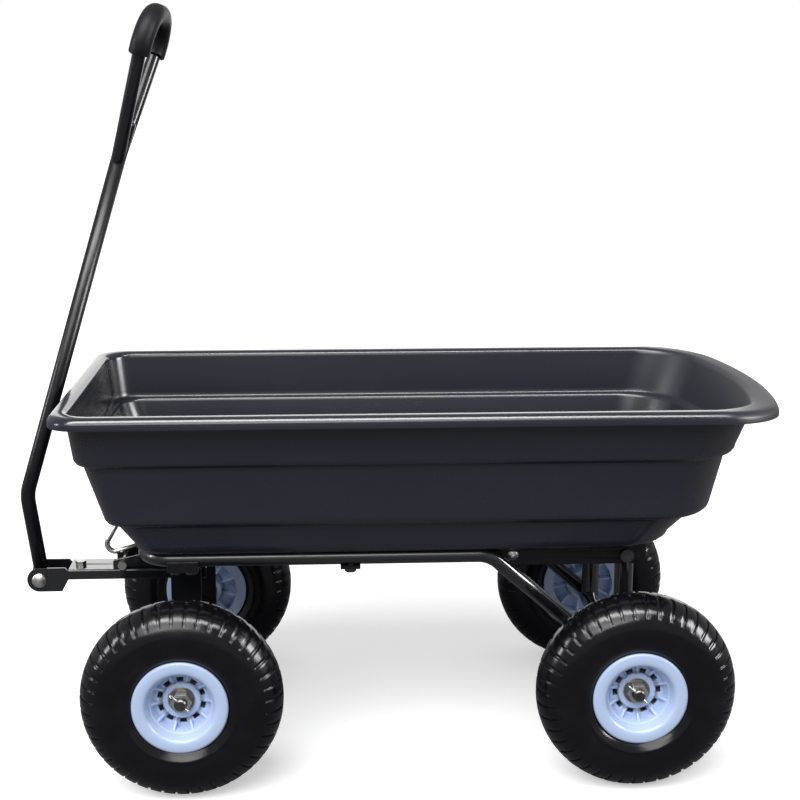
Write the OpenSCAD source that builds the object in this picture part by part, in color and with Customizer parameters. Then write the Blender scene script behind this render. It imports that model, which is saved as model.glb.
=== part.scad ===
// Tipping dump cart: a stepped tub on a tube frame with a steered front axle.
// X runs from the handle end to the pouring end, Y to the left, Z up, all in millimetres.

/* [Wheels] */
// Distance between the front and rear axles
wheelbase = 585; // [560:1:640]
// Distance between the middles of the left and right tyres
track = 440; // [436:1:480]
// Outer diameter of a tyre
tyre_d = 260; // [250:1:264]
// Width of a tyre at its bulge, as a share of its diameter
tyre_w_share = 0.323077; // [0.3:0.001:0.338]
// Thickness of the tyre's casing under the lugs
casing_t = 5; // [4:0.5:7]
// Depth of the grooves between the lugs
tread_depth = 3.5; // [2:0.5:5]
// How far the grooves reach in from the crown
tread_reach = 25; // [18:1:32]
// Lugs around one shoulder
lug_count = 44; // [30:1:52]
// Diameter over the rim's flange, as a share of the tyre's
rim_share = 0.469231; // [0.446:0.001:0.492]
// Diameter of the seat that the tyre's bead sits on, as a share of the tyre's
seat_share = 0.384615; // [0.37:0.001:0.407]
// Wall thickness of the moulded rim
rim_wall = 4; // [3:0.5:5]
// Inner diameter of the rim's flat face ring, as a share of the tyre's diameter
dish_share = 0.338462; // [0.323:0.001:0.353]
// Outer diameter of the hub
hub_d = 46; // [44:1:50]
// Ribs in the dish of a rim
rib_count = 10; // [8:1:12]
// Thickness of one rib
rib_t = 3.2; // [2.4:0.2:4]
// Outer diameter of a wheel bearing
bearing_d = 35; // [32:1:37]
// Width of a wheel bearing
bearing_w = 11; // [9:1:12]

/* [Tub] */
// Length over the lip
tub_length = 950; // [930:1:980]
// Reach of the lip ahead of the middle of the wheelbase
tub_ahead = 450; // [440:1:452]
// Width over the lip
tub_width = 472; // [460:1:490]
// Height from the underside of the floor to the top of the lip
tub_depth = 197; // [185:1:215]
// Wall thickness
tub_wall = 4; // [3:0.5:5]
// Floor thickness
floor_t = 6; // [5.5:0.5:8]
// How far the lip stands out at the sides
lip_side = 21; // [16:1:26]
// How far the lip stands out at the front
lip_front = 18; // [14:1:22]
// How far the lip stands out at the pouring end
lip_rear = 30; // [22:1:36]
// Height of the turned-down edge of the lip
lip_drop = 15; // [10:1:20]
// How far the lip sinks towards the pouring end
lip_droop = 8; // [0:1:12]
// How much narrower each side is at the floor than under the lip
side_draft = 42; // [34:1:50]
// How much the front wall leans
front_draft = 76; // [66:1:84]
// How much the pouring end leans
rear_draft = 104; // [90:1:120]
// Corner radius of the wall at the front
corner_front = 40; // [30:1:50]
// Corner radius of the wall at the pouring end
corner_rear = 72; // [60:1:84]
// How far the pouring end bows out
end_bow = 40; // [20:1:50]

/* [Frame] */
// Height of the middle of the side rails
rail_h = 292; // [286:1:300]
// Diameter of the frame tube
rail_d = 20; // [18:1:22]
// Distance between the middles of the side rails
rail_gauge = 300; // [296:1:310]
// Reach of the front bar ahead of the middle of the wheelbase
bar_ahead = 345; // [338:1:348]
// Reach of the straight rail behind the middle of the wheelbase
rail_behind = 108; // [96:1:116]
// Radius of the bends in the frame tube
rail_bend = 40; // [34:1:46]
// Wall thickness of the tubes
tube_wall = 2; // [1.5:0.25:3]
// Thickness of the frame's flat straps
strap_t = 4; // [3:0.5:5]
// Width of the strap above the front axle
bolster_w = 40; // [34:1:48]
// Width of the strap between the axles
brace_w = 26; // [22:1:34]
// Place of that strap ahead of the middle of the wheelbase
brace_ahead = 75; // [40:1:110]
// Diameter of the rear uprights
upright_d = 25; // [22:1:28]
// Distance between the middles of the rear uprights
upright_gauge = 244; // [236:1:246]
// Diameter of the tube around an axle
axle_tube_d = 28; // [24:1:32]
// Diameter of the axles and the kingpin
axle_d = 16; // [14:1:18]

/* [Hinge] */
// How far the tub's hinge lies below its floor
hinge_drop = 18; // [16.5:0.5:22]
// Diameter of the hinge bolts
hinge_d = 10; // [8:1:12]
// Reach of the hinge channels behind the middle of the wheelbase, at their front ends
channel_start = 114; // [100:1:124]
// Reach of the hinge channels past the hinge
channel_tail = 26; // [20:1:34]
// Sheet thickness of the hinge channels
channel_t = 3; // [2:0.5:3.5]
// Distance of the tie rod from the front ends of the channels
tie_inset = 26; // [22:1:34]
// Diameter of the tie rod
tie_d = 10; // [8:1:10]

/* [Steering] */
// Width of the drawbar
drawbar_w = 50; // [46:1:56]
// Height of the drawbar
drawbar_h = 14; // [12:1:18]
// Depth of the top of the drawbar below the middle of the side rails
drawbar_drop = 55; // [53:1:62]
// Reach of the drawbar ahead of the kingpin
drawbar_ahead = 172; // [165:1:176]
// Reach of the drawbar behind the kingpin
drawbar_tail = 18; // [14:1:30]
// Sheet thickness of the drawbar and the clevis
sheet_t = 3; // [2.5:0.5:4]
// Width of the yoke across its plate
yoke_w = 40; // [34:1:44]
// How far the yoke plate ends inside the middles of the side rails
yoke_inset = 26; // [20:1:35]
// Thickness of the yoke plate and legs
yoke_t = 5; // [4:0.5:6]

/* [Handle] */
// Reach of the handle's pivot ahead of the kingpin
pivot_ahead = 212.5; // [210:0.5:220]
// Depth of the handle's pivot below the top of the drawbar
pivot_drop = 15; // [11:1:19]
// Diameter of the handle tube
handle_d = 20; // [18:1:21]
// Length of the lower leg, from the pivot to the knee
leg_len = 119; // [110:1:125]
// Forward lean of the lower leg in degrees
leg_lean = 7.2; // [6:0.2:9]
// Length of the straight shaft above the knee
shaft_len = 496; // [460:1:520]
// Backward lean of the shaft in degrees
shaft_lean = 17.4; // [16.4:0.2:17.8]
// Bend radius of the knee
knee_r = 60; // [40:1:90]
// Length of the loop between the middles of its foot and its top
loop_len = 170; // [160:1:180]
// Lean of each leg of the loop away from the shaft in degrees
loop_spread = 17.5; // [16:0.5:19]
// Corner radius of the loop
loop_r = 40; // [34:1:42]
// Radius of the loop's foot
loop_foot_r = 16; // [14:1:18]
// Turn of the loop about the shaft in degrees
loop_turn = 5; // [0:1:8]
// Diameter of the loop's tube
loop_d = 18; // [16:1:20]
// Diameter of the grip
grip_d = 28; // [24:1:31]

/* [Latch] */
// Diameter of the release lever's rod
lever_d = 7.5; // [6:0.5:8]
// How far the lever's pivot stands off the tub's wall
latch_reach = 22; // [19:1:25]
// Reach of the lever's bend ahead of the front bar
lever_ahead = 79; // [72:1:84]
// Height of the lever's bend above the drawbar
lever_clear = 12; // [11:0.5:15]
// Height of the lever's free end above its bend
lever_lift = 18; // [15:1:21]
// Diameter of the lever's pin
latch_pin_d = 8; // [6:0.5:8]

/* [Hidden] */
$fn = 64;
// Clearance between pieces that lie against each other
rest_gap = 0.3;
// Radial clearance of a running or push fit
fit_gap = 0.05;
// Overrun of a cut past the face that it leaves
overrun = 2;

// Ground plan
axle_h = tyre_d / 2;
front_x = -wheelbase / 2;
rear_x = wheelbase / 2;
wheel_y = track / 2;
tub_rear = tub_length - tub_ahead;

// Wheel sections, measured from the wheel's middle with the outer side up
tyre_w = tyre_d * tyre_w_share;
section_r = tyre_w / 2;
section_c = tyre_d / 2 - section_r;
carcass_r = section_r - tread_depth;
cavity_r = carcass_r - casing_t;
tread_foot = tyre_d / 2 - tread_reach;
centre_rib = tread_depth;
groove_share = 0.36;
lug_taper_share = 0.12;
rim_r = tyre_d * rim_share / 2;
seat_r = tyre_d * seat_share / 2;
barrel_r = seat_r - rim_wall;
flange_in = sqrt(section_r * section_r - (section_c - rim_r) * (section_c - rim_r)) + rest_gap;
rim_half = flange_in + rim_wall;
bead_w = 13;
bead_share = 0.8;
bead_top = seat_r + (rim_r - seat_r) * bead_share;
dish_r = tyre_d * dish_share / 2;
dish_depth = tyre_w / 3;
web_top = rim_half - dish_depth;
web_low = web_top - rim_wall;
dish_foot = dish_r - dish_depth / 3;
core_foot = dish_foot + rim_wall;
core_top = web_low + (barrel_r - core_foot) * dish_depth / (dish_r - dish_foot);
hub_r = hub_d / 2;
hub_out = web_top + rest_gap;
hub_in = -rim_half - rim_wall;
pocket_r = bearing_d / 2 + fit_gap;
hub_bore = axle_d / 2 + rim_wall;
window_share = 0.72;
window_d = (dish_foot - hub_r) * window_share;
rib_head_share = 0.45;
rib_head = web_top + dish_depth * rib_head_share;
tube_skin = 1.8;
inner_tube_r = cavity_r - rest_gap;
valve_d = 8;
valve_bore = 3;
valve_drop = -14;
valve_root = section_c - sqrt(inner_tube_r * inner_tube_r - valve_drop * valve_drop) + tube_skin / 2;
valve_reach = 9;
valve_tip = barrel_r - valve_reach;
bearing_groove = 1;

// Axle ends, measured outwards from the wheel's middle
washer_t = 2.5;
washer_d = 32;
nut_af = 24;
nut_t = 9.5;
washer_low = hub_out + rest_gap;
nut_low = washer_low + washer_t + rest_gap;
cotter_d = 3;
cotter_y = nut_low + nut_t + cotter_d;
cotter_share = 1.7;
cotter_len = axle_d * cotter_share;
axle_tip_share = 1.5;
axle_end = cotter_y + cotter_d * axle_tip_share;
eye_share = 1.2;
axle_chamfer = 1.5;
spacer_len = 12;
axle_tube_half = wheel_y + hub_in - spacer_len;
spacer_d = 24;

// Tub levels
floor_z = rail_h + rail_d / 2 + rest_gap;
rim_z = floor_z + tub_depth;
wall_half = tub_width / 2 - lip_side;
wall_front = -(tub_ahead - lip_front);
wall_rear = tub_rear - lip_rear;
lip_t = 4;
lip_round = 5;
floor_round = 8;
inner_rise = 2.5;
round_share = 0.3;
corner_share = 0.35;
droop_share = 0.75;
// Height, then side, front and rear draft, from the floor up to the underside of the lip
tier_shares = [[0, 1, 1, 1], [0.225, 0.775, 0.71, 0.69], [0.27, 0.575, 0.53, 0.49],
               [0.64, 0.35, 0.22, 0.315], [0.685, 0.175, 0.09, 0.2]];
front_steps = 8;
rear_steps = 12;
end_steps = 12;
tube_sides = 20;
bend_steps = 8;

// Frame places
rail_y = rail_gauge / 2;
upright_y = upright_gauge / 2;
hinge_z = floor_z - hinge_drop;
rail_low = rail_h - rail_d / 2;
strap_top = rail_low - rest_gap;
strap_low = strap_top - strap_t;
bar_half = rail_y - rail_bend - rail_d;
bolt_d = 8;
bolt_af = 13;
bolt_head = 5.5;
bolt_tip = 2;
lug_y = rail_y + rail_d / 2 + rest_gap;
plug_len = 22;
upright_neck = 3;
upright_taper = 1.5;
upright_top = upright_d / 2 - upright_taper;
upright_tip_share = 0.56;

// Hinge channels
channel_play = 1;
channel_in = upright_d + channel_play;
channel_out = channel_in + 2 * channel_t;
channel_skirt = 12;
channel_low = hinge_z - channel_skirt;
channel_web = floor_z - channel_t;
channel_len = rear_x + channel_tail - channel_start;
tie_x = channel_start + tie_inset;
tie_drop = 14.5;
tie_z = floor_z - tie_drop;
dome_d = 16;
dome_t = 6;
floor_bolt_d = 15.4;
floor_bolt_t = 2.6;
floor_bolt_shares = [0.36, 0.56, 0.74];
hinge_head_d = 18;
hinge_head = 6;
hinge_nut_af = 16;

// Steering stack from the bolster down
thrust_t = 3;
thrust_d = 60;
thrust_top = strap_low - rest_gap;
yoke_top = thrust_top - thrust_t - rest_gap;
yoke_low = yoke_top - yoke_t;
king_head = 9;
king_af = 24;
king_nut_t = 11;
drawbar_top = rail_h - drawbar_drop;
drawbar_web = drawbar_top - sheet_t;
collar_d = 30;
yoke_span = rail_gauge - 2 * yoke_inset;
leg_y = yoke_span / 2 - yoke_t / 2;
leg_wall = 6;
leg_foot = axle_tube_d / 2 + leg_wall;
leg_steps = 24;
gusset_ahead = 110;
gusset_y = 19;
gusset_t = 3.5;
gusset_nose = 11;
gusset_bolt_in = 13;
gusset_bolt_up = 6;
gusset_head_d = 12;
gusset_chamfer = 2;

// Clevis and handle places
pivot_x = front_x - pivot_ahead;
pivot_h = drawbar_top - pivot_drop;
clevis_y = drawbar_w / 2 - sheet_t - rest_gap;
clevis_r = 17;
clevis_tail = 32;
clevis_x = front_x - drawbar_ahead;
clevis_bolt_in = 14;
clevis_drop = 10;
pivot_d = 10;
pivot_head_d = 20;
pivot_head = 6.5;
pivot_nut_af = 16;
eye_d = 26;
eye_half = clevis_y - sheet_t - rest_gap;
knee_x = pivot_x - leg_len * sin(leg_lean);
knee_z = pivot_h + leg_len * cos(leg_lean);
shaft_dir = [sin(shaft_lean), 0, cos(shaft_lean)];
leg_dir = [-sin(leg_lean), 0, cos(leg_lean)];
shaft_end = [knee_x, 0, knee_z] + shaft_dir * shaft_len;
loop_drop = loop_foot_r / sin(loop_spread) - loop_foot_r;
loop_half = (loop_len + loop_drop) * tan(loop_spread);
loop_foot = [0, 0, -loop_drop];
loop_left = [0, loop_half, loop_len];
loop_right = [0, -loop_half, loop_len];
grip_tail = 6;
spigot_d = 10;
spigot_len = 9;

// Latch places on the lowest tier of the front wall
tier_top = tier_shares[1][0] * tub_depth;
wall_foot_x = wall_front + front_draft;
wall_knee_x = wall_front + tier_shares[1][2] * front_draft;
wall_tilt = atan2(wall_foot_x - wall_knee_x, tier_top - floor_round);
latch_share = 0.52;
latch_x = wall_foot_x + (wall_knee_x - wall_foot_x) * latch_share;
latch_z = floor_z + floor_round + (tier_top - floor_round) * latch_share;
latch_pivot = [latch_x - latch_reach * cos(wall_tilt), 0, latch_z - latch_reach * sin(wall_tilt)];
latch_base_h = 26;
latch_base_w = 46;
latch_base_t = 3;
latch_ear_t = 3;
latch_ear_r = 8;
latch_gap = 8.5;
latch_head_t = 2;
latch_head_d = 12;
lever_boss_d = 15;
lever_bend = 11;
lever_end_gap = 3.5;
rivet_d = 6;
rivet_head_d = 10;
rivet_head_t = 2.4;
rivet_y = 18;

// The origin lies under the middle of the whole cart
knee_reach = knee_r / cos((leg_lean + shaft_lean) / 2);
knee_centre_x = knee_x + knee_reach * cos((shaft_lean - leg_lean) / 2);
cart_front = knee_centre_x - knee_r - handle_d / 2;
mid_x = (cart_front + tub_rear) / 2;

tub_black = [0.17, 0.17, 0.20];
paint_black = [0.12, 0.12, 0.14];
rubber_black = [0.07, 0.07, 0.09];
rim_white = [0.80, 0.84, 0.94];
zinc = [0.78, 0.76, 0.72];
steel = [0.35, 0.35, 0.37];

function unit(v) = v / norm(v);

// Puts the middle of the cart over the origin
module cart() {
  translate([-mid_x, 0, 0]) children();
}

// Stations of a path, each a point and a direction, bent at the inner points
function bend_stations(corner, into, out, bend_r) =
  let (turn = acos(into * out), inward = unit(out - into * (into * out)),
       centre = corner - into * bend_r * tan(turn / 2) + inward * bend_r)
  [for (i = [0:bend_steps])
    let (a = turn * i / bend_steps)
    [centre + (into * sin(a) - inward * cos(a)) * bend_r, into * cos(a) + inward * sin(a)]];
function bent_path(path, bend_r) =
  let (last = len(path) - 1, dirs = [for (i = [0:last - 1]) unit(path[i + 1] - path[i])])
  concat([[path[0], dirs[0]]],
         [for (i = [1:last - 1]) each bend_stations(path[i], dirs[i - 1], dirs[i], bend_r)],
         [[path[last], dirs[last - 1]]]);
function closed_path(corners, radii) =
  let (n = len(corners), dirs = [for (i = [0:n - 1]) unit(corners[(i + 1) % n] - corners[i])])
  [for (i = [0:n - 1]) each bend_stations(corners[i], dirs[(i + n - 1) % n], dirs[i], radii[i])];
function reversed(list) = [for (i = [len(list) - 1:-1:0]) list[i]];

// Rings around the stations; across is a direction that the path never takes
function tube_rings(stations, d, across) =
  [for (s = stations)
    let (n = unit(across - s[1] * (across * s[1])), b = cross(s[1], n))
    [for (k = [0:tube_sides - 1])
      s[0] + (n * cos(360 * k / tube_sides) + b * sin(360 * k / tube_sides)) * d / 2]];

// Skin over rings of points, closed by two flat ends or by running back into the first ring
module loft(rings, looped) {
  count = len(rings[0]);
  total = len(rings);
  sides = [for (k = [0:total - (looped ? 1 : 2)], i = [0:count - 1], half = [0, 1])
    let (j = (i + 1) % count, a = k * count, b = (k + 1) % total * count)
    half == 0 ? [a + i, b + i, b + j] : [a + i, b + j, a + j]];
  caps = looped ? [] : [[for (i = [0:count - 1]) i], [for (i = [count - 1:-1:0]) (total - 1) * count + i]];
  polyhedron(points = [for (ring = rings) each ring], faces = concat(sides, caps));
}

module bent_rod(stations, d, across) {
  loft(tube_rings(stations, d, across), false);
}

module bent_tube(stations, d, bore, across) {
  loft(concat(tube_rings(stations, d, across), reversed(tube_rings(stations, bore, across))), true);
}

// Cylinder along Y, centred on a place in the XZ plane
module cross_bar(x, z, y_from, y_to, d) {
  translate([x, y_to, z])
    rotate([90, 0, 0])
      cylinder(h = y_to - y_from, d = d);
}

// Outline in the XZ plane given a thickness along Y
module side_plate(y_from, y_to) {
  translate([0, y_to, 0])
    rotate([90, 0, 0])
      linear_extrude(y_to - y_from) children();
}

module hex(af, h) {
  cylinder(h = h, d = af / cos(30), $fn = 6);
}

// Wheel frame: the axle upwards, the outer side of the wheel on top
module at_wheel(x, side) {
  translate([x, side * wheel_y, axle_h])
    rotate([-90 * side, 0, 0]) children();
}

// Lugged outline of one row of the tread
module lug_outline() {
  pitch = 360 / lug_count;
  top_r = tyre_d / 2 + overrun;
  half = pitch * (1 - groove_share) / 2;
  tip = half - pitch * lug_taper_share / 2;
  polygon([for (i = [0:lug_count - 1], p = [[-half, tread_foot], [-tip, top_r], [tip, top_r], [half, tread_foot]])
    p[1] * [cos(i * pitch + p[0]), sin(i * pitch + p[0])]]);
}

module tyre_ring(r) {
  rotate_extrude()
    translate([section_c, 0])
      circle(r = r);
}

module bead_ring() {
  rotate_extrude()
    translate([seat_r + rest_gap, flange_in - rest_gap - bead_w])
      square([bead_top - seat_r, bead_w]);
}

module tyre() {
  half_pitch = 180 / lug_count;
  color(rubber_black)
    difference() {
      union() {
        tyre_ring(carcass_r);
        intersection() {
          tyre_ring(section_r);
          union() {
            translate([0, 0, centre_rib]) linear_extrude(section_r) lug_outline();
            translate([0, 0, -centre_rib]) cylinder(h = 2 * centre_rib, d = tyre_d + overrun);
            rotate([0, 0, half_pitch])
              translate([0, 0, -section_r - centre_rib]) linear_extrude(section_r) lug_outline();
          }
        }
        bead_ring();
        mirror([0, 0, 1]) bead_ring();
      }
      tyre_ring(cavity_r);
      translate([0, 0, -section_r]) cylinder(h = tyre_w, r = seat_r + rest_gap);
      translate([0, 0, bead_w - flange_in + rest_gap])
        cylinder(h = 2 * (flange_in - rest_gap - bead_w), r = section_c);
    }
}

module inner_tube() {
  color(rubber_black)
    difference() {
      union() {
        tyre_ring(inner_tube_r);
        translate([valve_tip, 0, valve_drop]) rotate([0, 90, 0]) cylinder(h = valve_root - valve_tip, d = valve_d);
      }
      tyre_ring(inner_tube_r - tube_skin);
      translate([valve_tip - overrun, 0, valve_drop])
        rotate([0, 90, 0]) cylinder(h = valve_root - valve_tip + 2 * overrun, d = valve_bore);
    }
}

module rim_ribs() {
  for (i = [0:rib_count - 1])
    rotate([0, 0, i * 360 / rib_count])
      rotate([90, 0, 0])
        translate([0, 0, -rib_t / 2])
          linear_extrude(rib_t)
            polygon([[hub_r - rim_wall / 2, web_low], [hub_r - rim_wall / 2, hub_out - rest_gap],
              [dish_foot + (rib_head - web_top) / 3 + rim_wall / 2, rib_head],
              [dish_foot + rim_wall / 2, web_low]]);
}

module rim_back_ribs() {
  for (i = [0:rib_count - 1])
    rotate([0, 0, i * 360 / rib_count])
      rotate([90, 0, 0])
        translate([0, 0, -rib_t / 2])
          linear_extrude(rib_t)
            polygon([[hub_r - rim_wall / 2, web_low + rim_wall / 2], [barrel_r + rim_wall / 2, web_low + rim_wall / 2],
              [barrel_r + rim_wall / 2, -rim_half + rim_wall], [hub_r - rim_wall / 2, hub_in + dish_depth / 2]]);
}

module rim() {
  color(rim_white)
    difference() {
      union() {
        rotate_extrude()
          polygon([[barrel_r, -rim_half], [rim_r, -rim_half], [rim_r, -flange_in], [seat_r, -flange_in],
            [seat_r, flange_in], [rim_r, flange_in], [rim_r, rim_half], [dish_r, rim_half],
            [dish_foot, web_top], [hub_r, web_top], [hub_r, hub_out], [pocket_r, hub_out],
            [pocket_r, hub_out - bearing_w], [hub_bore, hub_out - bearing_w], [hub_bore, hub_in + bearing_w],
            [pocket_r, hub_in + bearing_w], [pocket_r, hub_in], [hub_r, hub_in], [hub_r, web_low],
            [core_foot, web_low], [barrel_r, core_top]]);
        rim_ribs();
        rim_back_ribs();
      }
      translate([valve_tip, 0, valve_drop])
        rotate([0, 90, 0]) cylinder(h = seat_r - valve_tip + overrun, d = valve_d + 2 * rest_gap);
      for (i = [0:rib_count - 1])
        rotate([0, 0, (i + 0.5) * 360 / rib_count])
          translate([(hub_r + dish_foot) / 2, 0, web_low - overrun])
            cylinder(h = rim_wall + 2 * overrun, d = window_d);
    }
}

module bearing(low) {
  translate([0, 0, low])
    difference() {
      cylinder(h = bearing_w, d = bearing_d);
      translate([0, 0, -overrun]) cylinder(h = bearing_w + 2 * overrun, d = axle_d + 2 * fit_gap);
      for (z = [-overrun, bearing_w - bearing_groove])
        translate([0, 0, z])
          difference() {
            cylinder(h = bearing_groove + overrun, d = bearing_d - 2 * rim_wall);
            cylinder(h = bearing_groove + overrun, d = axle_d + 2 * rim_wall);
          }
    }
}

module bearing_pair() {
  color(zinc) {
    bearing(hub_out - bearing_w);
    bearing(hub_in);
  }
}

module wheel_bearings(x) {
  for (side = [-1, 1])
    at_wheel(x, side) bearing_pair();
}

// Axle pieces, the same at the front and the rear
module axle_tube(x) {
  color(paint_black)
    difference() {
      cross_bar(x, axle_h, -axle_tube_half, axle_tube_half, axle_tube_d);
      cross_bar(x, axle_h, -axle_tube_half - overrun, axle_tube_half + overrun, axle_d + 2 * fit_gap);
    }
}

module axle_rod(x) {
  half = wheel_y + axle_end;
  r = axle_d / 2;
  color(steel)
    difference() {
      translate([x, 0, axle_h])
        rotate([90, 0, 0])
          rotate_extrude()
            polygon([[0, -half], [r - axle_chamfer, -half], [r, axle_chamfer - half], [r, half - axle_chamfer],
              [r - axle_chamfer, half], [0, half]]);
      for (side = [-1, 1])
        at_wheel(x, side) cotter_bore();
    }
}

module cotter_bore() {
  translate([0, 0, cotter_y])
    rotate([0, 90, 135])
      translate([0, 0, -axle_d]) cylinder(h = 2 * axle_d, d = cotter_d + 2 * fit_gap);
}

module axle_nuts(x) {
  color(zinc)
    for (side = [-1, 1])
      at_wheel(x, side)
        translate([0, 0, nut_low])
          difference() {
            hex(nut_af, nut_t);
            translate([0, 0, -overrun]) cylinder(h = nut_t + 2 * overrun, d = axle_d + 2 * fit_gap);
          }
}

module axle_ring(low, h, d) {
  translate([0, 0, low])
    difference() {
      cylinder(h = h, d = d);
      translate([0, 0, -overrun]) cylinder(h = h + 2 * overrun, d = axle_d + 2 * fit_gap);
    }
}

module axle_washers(x) {
  spacer_low = axle_tube_half - wheel_y + rest_gap;
  color(zinc)
    for (side = [-1, 1])
      at_wheel(x, side) {
        axle_ring(washer_low, washer_t, washer_d);
        axle_ring(spacer_low, hub_in - rest_gap - spacer_low, spacer_d);
      }
}

module cotter_pins(x) {
  eye = cotter_d * eye_share;
  color(zinc)
    for (side = [-1, 1])
      at_wheel(x, side)
        translate([0, 0, cotter_y])
          rotate([0, 90, 135])
            translate([0, 0, -cotter_len / 2]) {
              cylinder(h = cotter_len, d = cotter_d);
              translate([0, 0, cotter_len + eye - cotter_d / 4])
                rotate([90, 0, 0]) rotate_extrude() translate([eye, 0]) circle(d = cotter_d / 2);
            }
}

// One ring of the tub: height, then how far it stands out at the sides, the front and the rear
function ring_radius(corner, grow) = corner + (grow > 0 ? grow : grow * corner_share);
function arc_points(cx, cy, r, from, steps) =
  [for (i = [0:steps]) [cx + r * cos(from + 90 * i / steps), cy + r * sin(from + 90 * i / steps)]];
function ring_outline(row) =
  let (half = wall_half + row[1], front = wall_front - row[2], rear = wall_rear + row[3],
       rf = ring_radius(corner_front, row[1]), rr = ring_radius(corner_rear, row[1]))
  concat(arc_points(rear - rr, half - rr, rr, 0, rear_steps),
         arc_points(front + rf, half - rf, rf, 90, front_steps),
         arc_points(front + rf, rf - half, rf, 180, front_steps),
         arc_points(rear - rr, rr - half, rr, 270, rear_steps),
         [for (i = [1:end_steps - 1]) [rear, (half - rr) * (2 * i / end_steps - 1)]]);
function ring_points(row) =
  let (half = wall_half + row[1], rear = wall_rear + row[3], lift = (row[0] - floor_z) / tub_depth,
       sink_from = wall_rear * droop_share)
  [for (p = ring_outline(row))
    let (back = max(0, p[0]) / rear, sink = max(0, p[0] - sink_from) / (rear - sink_from))
    [p[0] - end_bow * pow(p[1] / half, 2) * back, p[1], row[0] - lip_droop * pow(lift, 4) * sink * sink]];

function tier_row(i, inset, rise) =
  [floor_z + max(tier_shares[i][0] * tub_depth, floor_round) + rise, -tier_shares[i][1] * side_draft - inset,
   -tier_shares[i][2] * front_draft - inset, -tier_shares[i][3] * rear_draft - inset];
function floor_row(inset, rise) =
  [floor_z + rise, -side_draft - inset, -front_draft - inset, -rear_draft - inset];
function lip_row(drop, in) = [rim_z - drop, lip_side - in, lip_front - in, lip_rear - in];
function wall_row(drop, in) = [rim_z - drop, -in, -in, -in];

tub_rows = concat(
  [floor_row(floor_round, 0), floor_row(floor_round * round_share, floor_round * round_share)],
  [for (i = [0:4]) tier_row(i, 0, 0)],
  [wall_row(lip_t, 0), lip_row(lip_t, lip_t), lip_row(lip_drop, lip_t), lip_row(lip_drop, 0),
   lip_row(lip_round, 0), lip_row(lip_round * round_share, lip_round * round_share), lip_row(0, lip_round),
   wall_row(0, tub_wall - lip_round), wall_row(lip_round * round_share, tub_wall - lip_round * round_share),
   wall_row(lip_round, tub_wall)],
  [for (i = [4:-1:1]) tier_row(i, tub_wall, inner_rise)],
  [tier_row(0, tub_wall, floor_t), floor_row(tub_wall + floor_round * round_share, floor_t + floor_round * round_share),
   floor_row(tub_wall + floor_round, floor_t)]);

module at_floor_bolts() {
  for (share = floor_bolt_shares, side = [-1, 1])
    translate([channel_start + (rear_x - channel_start) * share, side * upright_y, 0]) children();
}

module at_rivets() {
  for (side = [-1, 1])
    translate([latch_x, side * rivet_y, latch_z])
      rotate([0, -90 - wall_tilt, 0]) children();
}

module tub() {
  color(tub_black)
    difference() {
      loft([for (row = tub_rows) ring_points(row)], false);
      at_floor_bolts() {
        translate([0, 0, floor_z - overrun]) cylinder(h = floor_t + 2 * overrun, d = bolt_d + 2 * fit_gap);
        translate([0, 0, floor_z + floor_t - floor_bolt_t - rest_gap])
          cylinder(h = floor_bolt_t + overrun, d = floor_bolt_d + 2 * rest_gap);
      }
      at_rivets()
        translate([0, 0, -tub_wall - 2 * overrun])
          cylinder(h = tub_wall + 4 * overrun, d = rivet_d + 2 * fit_gap);
    }
}

// Bolts whose flat heads lie just under the floor's face
module tub_bolts() {
  low = channel_web - bolt_head - bolt_tip;
  head_low = floor_z + floor_t - floor_bolt_t - rest_gap / 2;
  color(zinc)
    at_floor_bolts() {
      translate([0, 0, low]) cylinder(h = head_low - low, d = bolt_d);
      translate([0, 0, head_low]) cylinder(h = floor_bolt_t, d = floor_bolt_d);
    }
}

module tub_nuts() {
  color(zinc)
    at_floor_bolts()
      translate([0, 0, channel_web - bolt_head])
        difference() {
          hex(bolt_af, bolt_head);
          translate([0, 0, -overrun]) cylinder(h = bolt_head + 2 * overrun, d = bolt_d + 2 * fit_gap);
        }
}

// Inverted channel that carries the tub on one upright
module hinge_channel(side) {
  round_r = hinge_z - channel_low;
  color(paint_black)
    translate([0, side * upright_y, 0])
      difference() {
        side_plate(-channel_out / 2, channel_out / 2)
          difference() {
            translate([channel_start, channel_low]) square([channel_len, floor_z - channel_low]);
            translate([rear_x + channel_tail - round_r, channel_low - overrun])
              difference() {
                square([round_r + overrun, round_r + overrun]);
                translate([0, round_r + overrun]) circle(r = round_r);
              }
          }
        translate([channel_start - overrun, -channel_in / 2, channel_low - overrun])
          cube([channel_len + 2 * overrun, channel_in, channel_web - channel_low + overrun]);
        cross_bar(rear_x, hinge_z, -channel_out, channel_out, hinge_d + 2 * fit_gap);
        cross_bar(tie_x, tie_z, -channel_out, channel_out, tie_d + 2 * fit_gap);
        for (share = floor_bolt_shares)
          translate([channel_start + (rear_x - channel_start) * share, 0, channel_web - overrun])
            cylinder(h = channel_t + 2 * overrun, d = bolt_d + 2 * fit_gap);
      }
}

module tub_tie_rod() {
  half = upright_y + channel_out / 2 + dome_t / 2;
  color(steel) cross_bar(tie_x, tie_z, -half, half, tie_d);
}

// Domed nut: a skirt and a cap, open to the rod
module dome_nut(d, t, bore) {
  skirt_share = 0.4;
  cap_r = (d * d / 4 + pow(t * (1 - skirt_share), 2)) / (2 * t * (1 - skirt_share));
  difference() {
    union() {
      cylinder(h = t * skirt_share, d = d);
      translate([0, 0, t * skirt_share])
        intersection() {
          translate([0, 0, t * (1 - skirt_share) - cap_r]) sphere(r = cap_r);
          cylinder(h = t, d = d);
        }
    }
    translate([0, 0, -overrun]) cylinder(h = t / 2 + overrun + fit_gap, d = bore);
  }
}

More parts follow.
